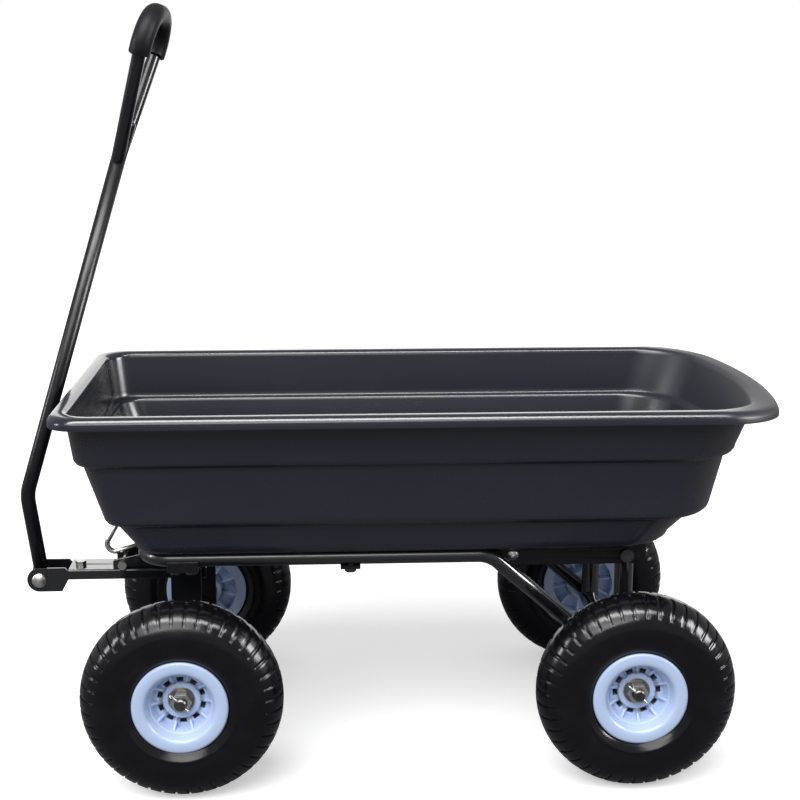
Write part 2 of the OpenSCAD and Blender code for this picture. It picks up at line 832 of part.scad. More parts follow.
module tie_rod_nuts() {
  color(zinc)
    for (side = [-1, 1])
      translate([tie_x, side * (upright_y + channel_out / 2), tie_z])
        rotate([-90 * side, 0, 0]) dome_nut(dome_d, dome_t, tie_d + 2 * fit_gap);
}

// Bracket on the front wall: a plate along the wall and two ears for the lever's pin
module latch_bracket() {
  color(paint_black)
    difference() {
      translate([latch_x, 0, latch_z])
        rotate([0, -wall_tilt, 0])
          union() {
            translate([-latch_base_t - rest_gap, -latch_base_w / 2, -latch_base_h / 2])
              cube([latch_base_t, latch_base_w, latch_base_h]);
            for (side = [-1, 1])
              scale([1, side, 1])
                side_plate(latch_gap, latch_gap + latch_ear_t) {
                  translate([-latch_reach, -latch_ear_r]) square([latch_reach - rest_gap - latch_base_t / 2, 2 * latch_ear_r]);
                  translate([-latch_reach, 0]) circle(r = latch_ear_r);
                }
          }
      cross_bar(latch_pivot[0], latch_pivot[2], -latch_base_w, latch_base_w, latch_pin_d + 2 * fit_gap);
      at_rivets()
        translate([0, 0, -overrun]) cylinder(h = latch_base_t + 4 * overrun, d = rivet_d + 2 * fit_gap);
    }
}

module latch_rivets() {
  head_low = rest_gap + latch_base_t;
  color(zinc)
    at_rivets() {
      translate([0, 0, -tub_wall - inner_rise]) cylinder(h = tub_wall + inner_rise + head_low, d = rivet_d);
      translate([0, 0, head_low]) cylinder(h = rivet_head_t, d1 = rivet_head_d, d2 = rivet_d);
    }
}

module latch_pin() {
  half = latch_gap + latch_ear_t;
  color(zinc) {
    cross_bar(latch_pivot[0], latch_pivot[2], -half, half, latch_pin_d);
    cross_bar(latch_pivot[0], latch_pivot[2], half, half + latch_head_t, latch_head_d);
    cross_bar(latch_pivot[0], latch_pivot[2], -half - latch_head_t, -half, latch_head_d);
  }
}

// Bent rod: down from the pin to the pull, then back towards the front bar
module release_lever() {
  pull = [-bar_ahead - lever_ahead, 0, drawbar_top + lever_clear];
  hook = [-bar_ahead - rail_d / 2 - lever_end_gap, 0, drawbar_top + lever_clear + lever_lift];
  boss_half = latch_gap - rest_gap;
  color(zinc)
    difference() {
      union() {
        bent_rod(bent_path([latch_pivot, pull, hook], lever_bend), lever_d, [0, 1, 0]);
        cross_bar(latch_pivot[0], latch_pivot[2], -boss_half, boss_half, lever_boss_d);
      }
      cross_bar(latch_pivot[0], latch_pivot[2], -latch_base_w, latch_base_w, latch_pin_d + 2 * fit_gap);
    }
}

// Frame tube of one side: up from the rear axle, along the tub and round the front corner
module side_rail(side) {
  path = [[rear_x, side * rail_y, axle_h], [rail_behind, side * rail_y, rail_h],
          [-bar_ahead, side * rail_y, rail_h], [-bar_ahead, side * bar_half, rail_h]];
  color(paint_black)
    difference() {
      bent_tube(bent_path(path, rail_bend), rail_d, rail_d - 2 * tube_wall, [0, 0, 1]);
      cross_bar(rear_x, axle_h, -wheel_y, wheel_y, axle_tube_d + 2 * fit_gap);
      at_frame_bolts()
        translate([0, 0, strap_low]) cylinder(h = rail_h - strap_low, d = bolt_d + 2 * fit_gap);
    }
}

module front_bar() {
  color(paint_black)
    difference() {
      cross_bar(-bar_ahead, rail_h, -bar_half, bar_half, rail_d);
      cross_bar(-bar_ahead, rail_h, -bar_half - overrun, bar_half + overrun, rail_d - 2 * tube_wall);
    }
}

module at_frame_bolts() {
  for (x = [front_x - bolster_w / 4, front_x + bolster_w / 4, -brace_ahead], side = [-1, 1])
    translate([x, side * rail_y, 0]) children();
}

// Strap under the two rails with its ends turned up outside them
module rail_strap(x, w, lug_h) {
  translate([x - w / 2, 0, 0])
    rotate([90, 0, 90])
      linear_extrude(w)
        polygon([[-lug_y - strap_t, strap_low], [lug_y + strap_t, strap_low], [lug_y + strap_t, strap_top + lug_h],
          [lug_y, strap_top + lug_h], [lug_y, strap_top], [-lug_y, strap_top], [-lug_y, strap_top + lug_h],
          [-lug_y - strap_t, strap_top + lug_h]]);
}

module front_bolster() {
  color(paint_black)
    difference() {
      rail_strap(front_x, bolster_w, rail_d / 2);
      translate([front_x, 0, strap_low - overrun])
        cylinder(h = strap_t + 2 * overrun, d = axle_d + 2 * fit_gap);
      at_frame_bolts()
        translate([0, 0, strap_low - overrun]) cylinder(h = strap_t + 2 * overrun, d = bolt_d + 2 * fit_gap);
    }
}

module mid_cross_brace() {
  half = rail_y + rail_d / 2;
  color(paint_black)
    difference() {
      translate([-brace_ahead - brace_w / 2, -half, strap_low]) cube([brace_w, 2 * half, strap_t]);
      at_frame_bolts()
        translate([0, 0, strap_low - overrun]) cylinder(h = strap_t + 2 * overrun, d = bolt_d + 2 * fit_gap);
    }
}

module frame_bolts() {
  color(zinc)
    at_frame_bolts() {
      translate([0, 0, strap_low]) cylinder(h = rail_h - strap_low - bolt_tip, d = bolt_d);
      translate([0, 0, strap_low - bolt_head]) hex(bolt_af, bolt_head);
    }
}

// Tube from the rear axle to the tub's hinge, plugged and tapered at the top
module rear_upright(side) {
  color(paint_black)
    difference() {
      translate([rear_x, side * upright_y, 0]) {
        translate([0, 0, axle_h]) cylinder(h = hinge_z + upright_neck - axle_h, d = upright_d);
        translate([0, 0, hinge_z + upright_neck])
          cylinder(h = upright_top - upright_neck, d1 = upright_d, d2 = upright_d * upright_tip_share);
      }
      translate([rear_x, side * upright_y, axle_h - overrun])
        cylinder(h = hinge_z - plug_len - axle_h + overrun, d = upright_d - 2 * tube_wall);
      cross_bar(rear_x, axle_h, -wheel_y, wheel_y, axle_tube_d + 2 * fit_gap);
      cross_bar(rear_x, hinge_z, -wheel_y, wheel_y, hinge_d + 2 * fit_gap);
    }
}

module hinge_bolts() {
  in = upright_y - channel_out / 2 - rest_gap;
  out = upright_y + channel_out / 2 + rest_gap;
  color(zinc)
    for (side = [-1, 1])
      scale([1, side, 1]) {
        cross_bar(rear_x, hinge_z, in - hinge_head - bolt_tip, out, hinge_d);
        cross_bar(rear_x, hinge_z, out, out + hinge_head, hinge_head_d);
      }
}

module hinge_nuts() {
  in = upright_y - channel_out / 2 - rest_gap;
  color(zinc)
    for (side = [-1, 1])
      translate([rear_x, side * in, hinge_z])
        rotate([90 * side, 0, 0])
          difference() {
            hex(hinge_nut_af, hinge_head);
            translate([0, 0, -overrun]) cylinder(h = hinge_head + 2 * overrun, d = hinge_d + 2 * fit_gap);
          }
}

// Bolt that the front axle turns on, from the bolster down through the drawbar
module kingpin() {
  head_low = strap_top + rest_gap;
  end = drawbar_web - king_nut_t - bolt_tip;
  color(zinc)
    translate([front_x, 0, 0]) {
      translate([0, 0, end]) cylinder(h = head_low - end, d = axle_d);
      translate([0, 0, head_low]) hex(king_af, king_head);
    }
}

module kingpin_nut() {
  color(zinc)
    translate([front_x, 0, drawbar_web - king_nut_t])
      difference() {
        hex(king_af, king_nut_t);
        translate([0, 0, -overrun]) cylinder(h = king_nut_t + 2 * overrun, d = axle_d + 2 * fit_gap);
      }
}

module king_ring(low, high, d) {
  translate([front_x, 0, low])
    difference() {
      cylinder(h = high - low, d = d);
      translate([0, 0, -overrun]) cylinder(h = high - low + 2 * overrun, d = axle_d + 2 * fit_gap);
    }
}

module thrust_washer() {
  color(zinc) king_ring(thrust_top - thrust_t, thrust_top, thrust_d);
}

module kingpin_collar() {
  color(paint_black) king_ring(drawbar_top, yoke_low, collar_d);
}

module yoke_plate() {
  color(paint_black)
    difference() {
      translate([front_x - yoke_w / 2, -yoke_span / 2, yoke_low]) cube([yoke_w, yoke_span, yoke_t]);
      translate([front_x, 0, yoke_low - overrun])
        cylinder(h = yoke_t + 2 * overrun, d = axle_d + 2 * fit_gap);
    }
}

// Flat leg with a round foot that the axle tube passes through
module yoke_leg(side) {
  color(paint_black)
    difference() {
      side_plate(side * leg_y - yoke_t / 2, side * leg_y + yoke_t / 2)
        polygon(concat([[front_x - yoke_w / 2, yoke_low], [front_x + yoke_w / 2, yoke_low]],
          [for (i = [0:leg_steps])
            [front_x + leg_foot * cos(180 * i / leg_steps), axle_h - leg_foot * sin(180 * i / leg_steps)]]));
      cross_bar(front_x, axle_h, -wheel_y, wheel_y, axle_tube_d + 2 * fit_gap);
    }
}

// Pressed channel, open below
module drawbar() {
  half = drawbar_w / 2;
  color(paint_black)
    difference() {
      translate([clevis_x, 0, 0])
        rotate([90, 0, 90])
          linear_extrude(drawbar_ahead + drawbar_tail)
            polygon([[-half, drawbar_top - drawbar_h], [sheet_t - half, drawbar_top - drawbar_h],
              [sheet_t - half, drawbar_web], [half - sheet_t, drawbar_web],
              [half - sheet_t, drawbar_top - drawbar_h], [half, drawbar_top - drawbar_h],
              [half, drawbar_top - sheet_t / 2], [half - sheet_t / 2, drawbar_top],
              [sheet_t / 2 - half, drawbar_top], [-half, drawbar_top - sheet_t / 2]]);
      for (p = [[front_x, axle_d], [clevis_x + clevis_bolt_in, bolt_d]])
        translate([p[0], 0, drawbar_web - overrun])
          cylinder(h = sheet_t + 2 * overrun, d = p[1] + 2 * fit_gap);
    }
}

// Two plates that stand on the drawbar and brace the yoke plate
module drawbar_gussets() {
  nose_x = front_x - gusset_ahead;
  color(paint_black)
    difference() {
      for (side = [-1, 1])
        scale([1, side, 1])
          side_plate(gusset_y, gusset_y + gusset_t)
            polygon([[nose_x, drawbar_top], [nose_x, drawbar_top + gusset_nose],
              [nose_x + gusset_chamfer, drawbar_top + gusset_nose + gusset_chamfer],
              [front_x - yoke_w / 2, yoke_low], [front_x + drawbar_tail, yoke_low], [front_x + drawbar_tail, drawbar_top]]);
      cross_bar(nose_x + gusset_bolt_in, drawbar_top + gusset_bolt_up, -drawbar_w, drawbar_w, bolt_d + 2 * fit_gap);
    }
}

// Two cheeks for the handle's eye, bridged inside the drawbar
module clevis() {
  rear = clevis_x + clevis_tail;
  top = drawbar_web - rest_gap;
  color(paint_black)
    difference() {
      union() {
        for (side = [-1, 1])
          scale([1, side, 1])
            side_plate(clevis_y - sheet_t, clevis_y) {
              translate([pivot_x, pivot_h]) circle(r = clevis_r);
              polygon([[pivot_x, pivot_h - clevis_r], [clevis_x - clevis_drop, pivot_h - clevis_r],
                [clevis_x, drawbar_top - drawbar_h], [rear, drawbar_top - drawbar_h], [rear, top],
                [clevis_x - rest_gap, top], [clevis_x - clevis_drop / 2, pivot_h + clevis_r], [pivot_x, pivot_h + clevis_r]]);
            }
        translate([clevis_x, -clevis_y, top - sheet_t]) cube([clevis_tail, 2 * clevis_y, sheet_t]);
      }
      cross_bar(pivot_x, pivot_h, -drawbar_w, drawbar_w, pivot_d + 2 * fit_gap);
      translate([clevis_x + clevis_bolt_in, 0, top - sheet_t - overrun])
        cylinder(h = sheet_t + 2 * overrun, d = bolt_d + 2 * fit_gap);
    }
}

// One bolt across the gussets and one down through the drawbar into the clevis
module drawbar_bolts() {
  x = front_x - gusset_ahead + gusset_bolt_in;
  z = drawbar_top + gusset_bolt_up;
  out = gusset_y + gusset_t;
  low = drawbar_web - rest_gap - sheet_t;
  color(zinc) {
    cross_bar(x, z, -out - fit_gap, out + fit_gap, bolt_d);
    cross_bar(x, z, -out - bolt_head, -out, gusset_head_d);
    cross_bar(x, z, out, out + bolt_head, gusset_head_d);
    translate([clevis_x + clevis_bolt_in, 0, 0]) {
      translate([0, 0, low - fit_gap]) cylinder(h = drawbar_top - low + 2 * fit_gap, d = bolt_d);
      translate([0, 0, drawbar_top]) hex(bolt_af, bolt_head);
      translate([0, 0, low - bolt_head]) hex(bolt_af, bolt_head);
    }
  }
}

module handle_bolt() {
  out = clevis_y + rest_gap;
  color(zinc) {
    cross_bar(pivot_x, pivot_h, -out, out, pivot_d);
    translate([pivot_x, -out, pivot_h]) rotate([90, 0, 0]) dome_nut(pivot_head_d, pivot_head, 0);
    translate([pivot_x, out + pivot_head, pivot_h]) rotate([90, 0, 0]) hex(pivot_nut_af, pivot_head);
  }
}

// Shaft with its knee, from the eye on the pivot bolt to the loop
module handle_tube() {
  path = [[pivot_x, 0, pivot_h] + leg_dir * pivot_d, [knee_x, 0, knee_z], shaft_end];
  color(paint_black)
    difference() {
      union() {
        bent_tube(bent_path(path, knee_r), handle_d, handle_d - 2 * tube_wall, [0, 1, 0]);
        cross_bar(pivot_x, pivot_h, -eye_half, eye_half, eye_d);
        translate(shaft_end)
          rotate([0, shaft_lean, 0]) {
            translate([0, 0, -plug_len]) cylinder(h = plug_len - rest_gap, d = handle_d - tube_wall);
            translate([0, 0, -plug_len / 2]) cylinder(h = plug_len / 2 + spigot_len, d = spigot_d);
          }
      }
      cross_bar(pivot_x, pivot_h, -drawbar_w, drawbar_w, pivot_d + 2 * fit_gap);
    }
}

// Loop frame: the shaft upwards, the loop spread along Y
module at_loop() {
  translate(shaft_end + shaft_dir * (loop_d / 2 + rest_gap))
    rotate([0, shaft_lean, 0]) rotate([0, 0, -loop_turn]) children();
}

// Closed loop that narrows to its foot on the shaft
module handle_loop() {
  color(paint_black)
    at_loop()
      difference() {
        loft(tube_rings(closed_path([loop_foot, loop_left, loop_right], [loop_foot_r, loop_r, loop_r]), loop_d,
          [1, 0, 0]), true);
        translate([0, 0, -loop_d])
          cylinder(h = loop_d / 2 + spigot_len, d = spigot_d + 2 * fit_gap);
      }
}

module handle_grip() {
  reach = loop_r * tan((90 + loop_spread) / 2) + grip_tail;
  ends = [for (corner = [loop_left, loop_right]) corner + unit(loop_foot - corner) * reach];
  color(rubber_black)
    at_loop()
      bent_tube(bent_path([ends[0], loop_left, loop_right, ends[1]], loop_r), grip_d, loop_d + 2 * fit_gap, [1, 0, 0]);
}

module wheel_node(piece) {
  for (end = [["front", front_x], ["rear", rear_x]], hand = [["left", 1], ["right", -1]]) {
    name = str(end[0], "_", hand[0], "_", piece);
    cart() at_wheel(end[1], hand[1]) children();
  }
}

wheel_node("tyre") tyre();
wheel_node("tube") inner_tube();
wheel_node("rim") rim();
cart() wheel_bearings(front_x);  // front_wheel_bearings
cart() wheel_bearings(rear_x);  // rear_wheel_bearings
cart() tub();
cart() hinge_channel(1);  // hinge_channel_left
cart() hinge_channel(-1);  // hinge_channel_right
cart() tub_tie_rod();
cart() tie_rod_nuts();
cart() tub_bolts();
cart() tub_nuts();
cart() latch_bracket();
cart() latch_rivets();
cart() latch_pin();
cart() release_lever();
cart() side_rail(1);  // side_rail_left
cart() side_rail(-1);  // side_rail_right
cart() front_bar();
cart() front_bolster();
cart() mid_cross_brace();
cart() frame_bolts();
cart() axle_tube(rear_x);  // rear_axle_tube
cart() axle_rod(rear_x);  // rear_axle_rod
cart() rear_upright(1);  // rear_upright_left
cart() rear_upright(-1);  // rear_upright_right
cart() hinge_bolts();
cart() hinge_nuts();
cart() axle_nuts(rear_x);  // rear_axle_nuts
cart() axle_washers(rear_x);  // rear_axle_washers
cart() cotter_pins(rear_x);  // rear_cotter_pins
cart() kingpin();
cart() kingpin_nut();
cart() thrust_washer();
cart() kingpin_collar();
cart() yoke_plate();
cart() yoke_leg(1);  // yoke_leg_left
cart() yoke_leg(-1);  // yoke_leg_right
cart() axle_tube(front_x);  // front_axle_tube
cart() axle_rod(front_x);  // front_axle_rod
cart() axle_nuts(front_x);  // front_axle_nuts
cart() axle_washers(front_x);  // front_axle_washers
cart() cotter_pins(front_x);  // front_cotter_pins
cart() drawbar();
cart() drawbar_gussets();
cart() clevis();
cart() drawbar_bolts();
cart() handle_bolt();
cart() handle_tube();
cart() handle_loop();
cart() handle_grip();
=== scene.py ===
# Tipping dump cart: the looks of every piece, in the order in which the cart is put together.
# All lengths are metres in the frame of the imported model: +X to the pouring end, +Z up.
import math

import bpy
from mathutils import Matrix, Vector


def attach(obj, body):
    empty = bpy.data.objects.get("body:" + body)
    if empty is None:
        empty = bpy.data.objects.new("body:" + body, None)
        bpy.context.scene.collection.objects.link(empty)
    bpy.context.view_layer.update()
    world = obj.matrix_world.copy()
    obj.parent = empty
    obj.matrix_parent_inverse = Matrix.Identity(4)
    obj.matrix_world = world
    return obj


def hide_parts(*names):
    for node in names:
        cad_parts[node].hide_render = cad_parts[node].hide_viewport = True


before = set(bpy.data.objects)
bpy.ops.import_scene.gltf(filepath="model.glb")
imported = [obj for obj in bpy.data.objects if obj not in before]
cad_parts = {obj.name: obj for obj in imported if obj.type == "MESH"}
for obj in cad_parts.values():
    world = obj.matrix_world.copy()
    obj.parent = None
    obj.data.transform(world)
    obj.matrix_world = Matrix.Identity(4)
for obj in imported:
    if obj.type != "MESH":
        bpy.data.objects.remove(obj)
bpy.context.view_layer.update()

# Camera
# It stands on the right side of the cart, well above the lip, and looks slightly down.
# The lens is a short telephoto, so the wheels on the far side look a little smaller.
camera_yaw = 0.0498
camera_pitch = 0.2165
camera_data = bpy.data.cameras.new("camera")
camera_data.sensor_width = 36
camera_data.lens = 67.38
camera = bpy.data.objects.new("camera", camera_data)
bpy.context.scene.collection.objects.link(camera)
look = Vector((math.sin(camera_yaw) * math.cos(camera_pitch), math.cos(camera_yaw) * math.cos(camera_pitch),
               -math.sin(camera_pitch)))
camera.location = (-0.0889, -2.022, 0.9133)
camera.rotation_euler = look.to_track_quat("-Z", "Y").to_euler()
bpy.context.scene.camera = camera

# Frame tubes and the paint on all the black steel
# Each side rail is one round steel tube, bent down to the rear axle and round the front corner.
# Tubes and drawbar are powder coated in gloss black, plates in satin black, all with a little dust.


class Field:
    """A value that changes over a surface. Sums and products of fields add the nodes that work them out."""

    def __init__(self, tree, socket):
        self.tree = tree
        self.socket = socket

    def node(self, kind, settings, sockets, output=0):
        made = self.tree.nodes.new(kind)
        for name, value in settings.items():
            if name == "stops":
                for stop in range(len(value) - 2):
                    made.color_ramp.elements.new(0.5)
                for element, (place, shade) in zip(made.color_ramp.elements, value):
                    element.position = place
                    element.color = (*shade, 1)
            else:
                setattr(made, name, value)
        for name, value in sockets.items():
            if isinstance(value, Field):
                self.tree.links.new(value.socket, made.inputs[name])
            else:
                made.inputs[name].default_value = value
        return Field(self.tree, made.outputs[output])

    def math(self, operation, left, right):
        return self.node("ShaderNodeMath", {"operation": operation}, {0: left, 1: right})

    def __add__(self, other):
        return self.math("ADD", self, other)

    __radd__ = __add__

    def __sub__(self, other):
        return self.math("SUBTRACT", self, other)

    def __rsub__(self, other):
        return self.math("SUBTRACT", other, self)

    def __mul__(self, other):
        return self.math("MULTIPLY", self, other)

    __rmul__ = __mul__

    def power(self, other):
        return self.math("POWER", self, other)

    def noise(self, scale, detail=2.0, roughness=0.5):
        return self.node("ShaderNodeTexNoise", {}, {"Vector": self, "Scale": scale, "Detail": detail,
                                                    "Roughness": roughness})

    def stretched(self, scale):
        return self.node("ShaderNodeMapping", {}, {"Vector": self, "Scale": scale})

    def between(self, low, high):
        """Stretches the range from low to high over 0 to 1, and holds it there."""
        return self.node("ShaderNodeMapRange", {"interpolation_type": "SMOOTHSTEP"},
                         {"Value": self, "From Min": low, "From Max": high})

    def shades(self, *stops):
        return self.node("ShaderNodeValToRGB", {"stops": stops}, {"Fac": self})

    def bump(self, strength, distance):
        return self.node("ShaderNodeBump", {}, {"Strength": strength, "Distance": distance, "Height": self})

    def feeds(self, shader, socket):
        self.tree.links.new(self.socket, shader.inputs[socket])


def new_finish(name, fixed):
    """A material with its fixed values set; returns it with its shader and its place on the piece."""
    material = bpy.data.materials.new(name)
    material.use_nodes = True
    tree = material.node_tree
    shader = tree.nodes["Principled BSDF"]
    for socket, value in fixed.items():
        shader.inputs[socket].default_value = value
    place = Field(tree, tree.nodes.new("ShaderNodeTexCoord").outputs["Object"])
    return material, shader, place


def gloss_black(name, dusty):
    """Gloss black powder coat with a faint orange peel; dust dulls the rails on the run under the tub."""
    material, shader, place = new_finish(name, {"Coat Roughness": 0.05, "Specular IOR Level": 0.5})
    peel = place.noise(420.0, 3.0)
    dust = place.noise(55.0, 6.0, 0.7).between(0.5, 0.85)
    dust.shades((0.0, (0.0075, 0.0080, 0.0098)), (1.0, (0.017, 0.0175, 0.020))).feeds(shader, "Base Color")
    roughness = 0.10 + peel * 0.04 + dust * 0.12
    coat = 0.65 - dust * 0.40
    if dusty:
        along = place.node("ShaderNodeSeparateXYZ", {}, {"Vector": place}, "X")
        level = along.between(0.150, 0.100)
        roughness = roughness + level * 0.20
        coat = coat - level * 0.25
    roughness.feeds(shader, "Roughness")
    coat.feeds(shader, "Coat Weight")
    peel.bump(0.03, 0.0006).feeds(shader, "Normal")
    return material


gloss_paint = gloss_black("gloss_paint", False)
rail_paint = gloss_black("rail_paint", True)
weld_gap = 0.00001


def bend_tube(name, corners, radii, tube_r, sides):
    """A round tube drawn along straight runs and bends, as a tube bender makes it."""
    points = [Vector(corner) for corner in corners]
    runs = [(far - near).normalized() for near, far in zip(points, points[1:])]
    bpy.ops.object.select_all(action="DESELECT")
    bpy.ops.mesh.primitive_circle_add(vertices=sides, radius=tube_r, location=points[0],
                                      rotation=runs[0].to_track_quat("Z", "Y").to_euler())
    tube = bpy.context.object
    tube.name = name
    bpy.ops.object.transform_apply(location=True, rotation=True, scale=True)
    bpy.ops.object.mode_set(mode="EDIT")
    bpy.ops.mesh.select_all(action="SELECT")
    here = points[0]
    for corner, into, out, bend_r in zip(points[1:], runs, runs[1:], radii):
        turn = into.angle(out)
        reach = bend_r * math.tan(turn / 2)
        start = corner - into * reach
        bpy.ops.mesh.extrude_region_move(TRANSFORM_OT_translate={"value": start - here})
        inward = (out - into * into.dot(out)).normalized()
        bpy.ops.mesh.spin(steps=max(6, round(turn * 10)), angle=-turn, center=start + inward * bend_r,
                          axis=into.cross(out).normalized())
        here = corner + out * reach
    bpy.ops.mesh.extrude_region_move(TRANSFORM_OT_translate={"value": points[-1] - here})
    bpy.ops.mesh.select_all(action="SELECT")
    bpy.ops.mesh.remove_doubles(threshold=weld_gap)
    bpy.ops.mesh.normals_make_consistent(inside=False)
    bpy.ops.object.mode_set(mode="OBJECT")
    bpy.ops.object.shade_smooth_by_angle(angle=math.radians(40))
    return tube


def apply_modifier(piece, kind, **settings):
    """Adds a modifier, sets it and applies it."""
    bpy.context.view_layer.objects.active = piece
    modifier = piece.modifiers.new(kind.lower(), kind)
    for name, value in settings.items():
        setattr(modifier, name, value)
    bpy.ops.object.modifier_apply(modifier=modifier.name)


def paint(piece, material):
    piece.data.materials.clear()
    piece.data.materials.append(material)


axle_front_x = -0.278126
axle_rear_x = 0.306874
axle_z = 0.130
rail_y = 0.150
rail_z = 0.292
rail_r = 0.010
rail_bend = 0.040
foot_lap = 0.010
bar_x = -0.330626
bar_half = 0.090
rear_bend_x = 0.122374
tube_wall = 0.002
tube_sides = 40
for hand, side in (("left", 1), ("right", -1)):
    down = Vector((axle_rear_x - rear_bend_x, 0, axle_z - rail_z)).normalized()
    foot = Vector((axle_rear_x, side * rail_y, axle_z)) - down * foot_lap
    path = [foot, (rear_bend_x, side * rail_y, rail_z), (bar_x, side * rail_y, rail_z),
            (bar_x, side * bar_half, rail_z)]
    rail = bend_tube("rail_" + hand, path, [rail_bend, rail_bend], rail_r, tube_sides)
    apply_modifier(rail, "SOLIDIFY", thickness=tube_wall, offset=-1)
    paint(rail, rail_paint)
    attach(rail, "chassis")
    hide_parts("side_rail_" + hand)


def dress(material, bevel, *names):
    """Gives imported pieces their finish, and a small live round on their edges."""
    for name in names:
        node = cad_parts[name]
        for slot in node.material_slots:
            slot.material = material
        if bevel:
            weld = node.modifiers.new("weld", "WELD")
            weld.merge_threshold = weld_gap
            rounded = node.modifiers.new("round", "BEVEL")
            rounded.width = bevel
            rounded.segments = 2
            rounded.limit_method = "ANGLE"
            rounded.angle_limit = math.radians(40)


satin_paint, shader, place = new_finish("satin_paint", {"Specular IOR Level": 0.3})
peel = place.noise(420.0, 3.0)
dust = place.noise(55.0, 6.0, 0.7).between(0.5, 0.85)
dust.shades((0.0, (0.0050, 0.0053, 0.0068)), (1.0, (0.011, 0.0115, 0.013))).feeds(shader, "Base Color")
(0.26 + peel * 0.06 + dust * 0.16).feeds(shader, "Roughness")
peel.bump(0.04, 0.0006).feeds(shader, "Normal")
dress(gloss_paint, 0.0, "front_bar", "rear_axle_tube", "front_axle_tube", "rear_upright_left",
      "rear_upright_right", "kingpin_collar")
plate_round = 0.0007
dress(gloss_paint, plate_round, "drawbar", "drawbar_gussets", "clevis")
dress(satin_paint, plate_round, "front_bolster", "mid_cross_brace", "yoke_plate", "yoke_leg_left",
      "yoke_leg_right", "hinge_channel_left", "hinge_channel_right", "latch_bracket")

# Bolts, nuts, washers and pins
# Small steel hardware, zinc plated with a faint warm tint, and turned marks that catch the light.
# The axle washers are duller zinc, coloured darker as painted shade for the shaded gap round each nut; the
# axles and the tie rod are plain drawn steel, darker again.
zinc, shader, place = new_finish("zinc", {"Metallic": 1.0})
cloud = place.noise(160.0, 4.0)
grain = place.stretched((900.0, 900.0, 120.0)).noise(1.0, 2.0)
tint = cloud * 0.6 + grain * 0.4
tint.shades((0.3, (0.44, 0.43, 0.41)), (0.7, (0.68, 0.66, 0.63))).feeds(shader, "Base Color")
(0.24 + grain * 0.16).feeds(shader, "Roughness")
grain.bump(0.08, 0.0002).feeds(shader, "Normal")

# Painted shade: the washers are coloured darker than the zinc, for the shaded gap round each nut
washer_shade_zinc, shader, place = new_finish("washer_shade_zinc", {"Metallic": 1.0})
cloud = place.noise(210.0, 5.0, 0.6)
rub = place.noise(900.0, 2.0)
cloud.shades((0.35, (0.13, 0.127, 0.122)), (0.7, (0.30, 0.29, 0.28))).feeds(shader, "Base Color")
(0.38 + rub * 0.16).feeds(shader, "Roughness")
rub.bump(0.06, 0.0002).feeds(shader, "Normal")

drawn_steel, shader, place = new_finish("drawn_steel", {"Metallic": 1.0})
cloud = place.noise(90.0, 5.0)
drawn = place.stretched((1400.0, 40.0, 1400.0)).noise(1.0, 2.0)
cloud.shades((0.35, (0.060, 0.059, 0.058)), (0.7, (0.13, 0.128, 0.125))).feeds(shader, "Base Color")
(0.26 + drawn * 0.2).feeds(shader, "Roughness")
drawn.bump(0.06, 0.0002).feeds(shader, "Normal")

nut_round = 0.0006
washer_round = 0.0004
crown_weld = 0.00003
dress(zinc, nut_round, "rear_axle_nuts", "front_axle_nuts")
dress(zinc, 0.0, "rear_cotter_pins", "front_cotter_pins", "rear_wheel_bearings", "front_wheel_bearings",
      "tie_rod_nuts", "tub_bolts", "tub_nuts", "latch_rivets", "latch_pin", "kingpin", "kingpin_nut",
      "thrust_washer", "drawbar_bolts", "handle_bolt")
dress(washer_shade_zinc, washer_round, "rear_axle_washers", "front_axle_washers")
# The crowns of the domed ends are fans of thin slivers, which a weld merges
for name in ("handle_bolt", "tie_rod_nuts"):
    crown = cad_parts[name].modifiers.new("crown", "WELD")
    crown.merge_threshold = crown_weld
dress(drawn_steel, 0.0, "rear_axle_rod", "front_axle_rod", "tub_tie_rod", "hinge_bolts", "hinge_nuts",
      "frame_bolts")

# Handle shaft
# One steel tube with a knee just above its eye, in a satin black.
# The eye is a short thick sleeve welded across the lower end, and it turns on the pivot bolt.
pivot = Vector((-0.490626, 0, 0.222))
leg_lean = math.radians(7.2)
leg_len = 0.119
leg_start = 0.09
shaft_lean = math.radians(17.4)
shaft_len = 0.496
shaft_r = 0.010
shaft_spigot = 0.014
knee_bend = 0.060
eye_r = 0.013
eye_len = 0.0368
eye_wall = 0.0079
eye_round = 0.0008
shaft_way = Vector((math.sin(shaft_lean), 0, math.cos(shaft_lean)))
knee = pivot + leg_len * Vector((-math.sin(leg_lean), 0, math.cos(leg_lean)))
shaft_end = knee + shaft_len * shaft_way
path = [pivot.lerp(knee, leg_start), knee, shaft_end + shaft_way * shaft_spigot]
shaft = bend_tube("handle_shaft", path, [knee_bend], shaft_r, tube_sides)
apply_modifier(shaft, "SOLIDIFY", thickness=tube_wall, offset=-1)
bpy.ops.object.select_all(action="DESELECT")
bpy.ops.mesh.primitive_cylinder_add(vertices=48, radius=eye_r, depth=eye_len, location=pivot,
                                    rotation=(math.pi / 2, 0, 0))
eye = bpy.context.object
bpy.ops.object.transform_apply(location=True, rotation=True, scale=True)
bpy.ops.object.mode_set(mode="EDIT")
bpy.ops.mesh.select_mode(type="FACE")
bpy.ops.mesh.select_all(action="DESELECT")
bpy.ops.object.mode_set(mode="OBJECT")
for face in eye.data.polygons:
    face.select = abs(face.normal.y) > 0.9
bpy.ops.object.mode_set(mode="EDIT")
bpy.ops.mesh.inset(thickness=eye_wall)
bpy.ops.mesh.bridge_edge_loops()
bpy.ops.object.mode_set(mode="OBJECT")
apply_modifier(eye, "BEVEL", width=eye_round, segments=2, angle_limit=math.radians(40))
bpy.ops.object.shade_smooth_by_angle(angle=math.radians(30))


def join(piece, *others):
    """Makes other meshes part of a piece."""
    bpy.ops.object.select_all(action="DESELECT")
    for mesh in (*others, piece):
        mesh.select_set(True)
    bpy.context.view_layer.objects.active = piece
    bpy.ops.object.join()


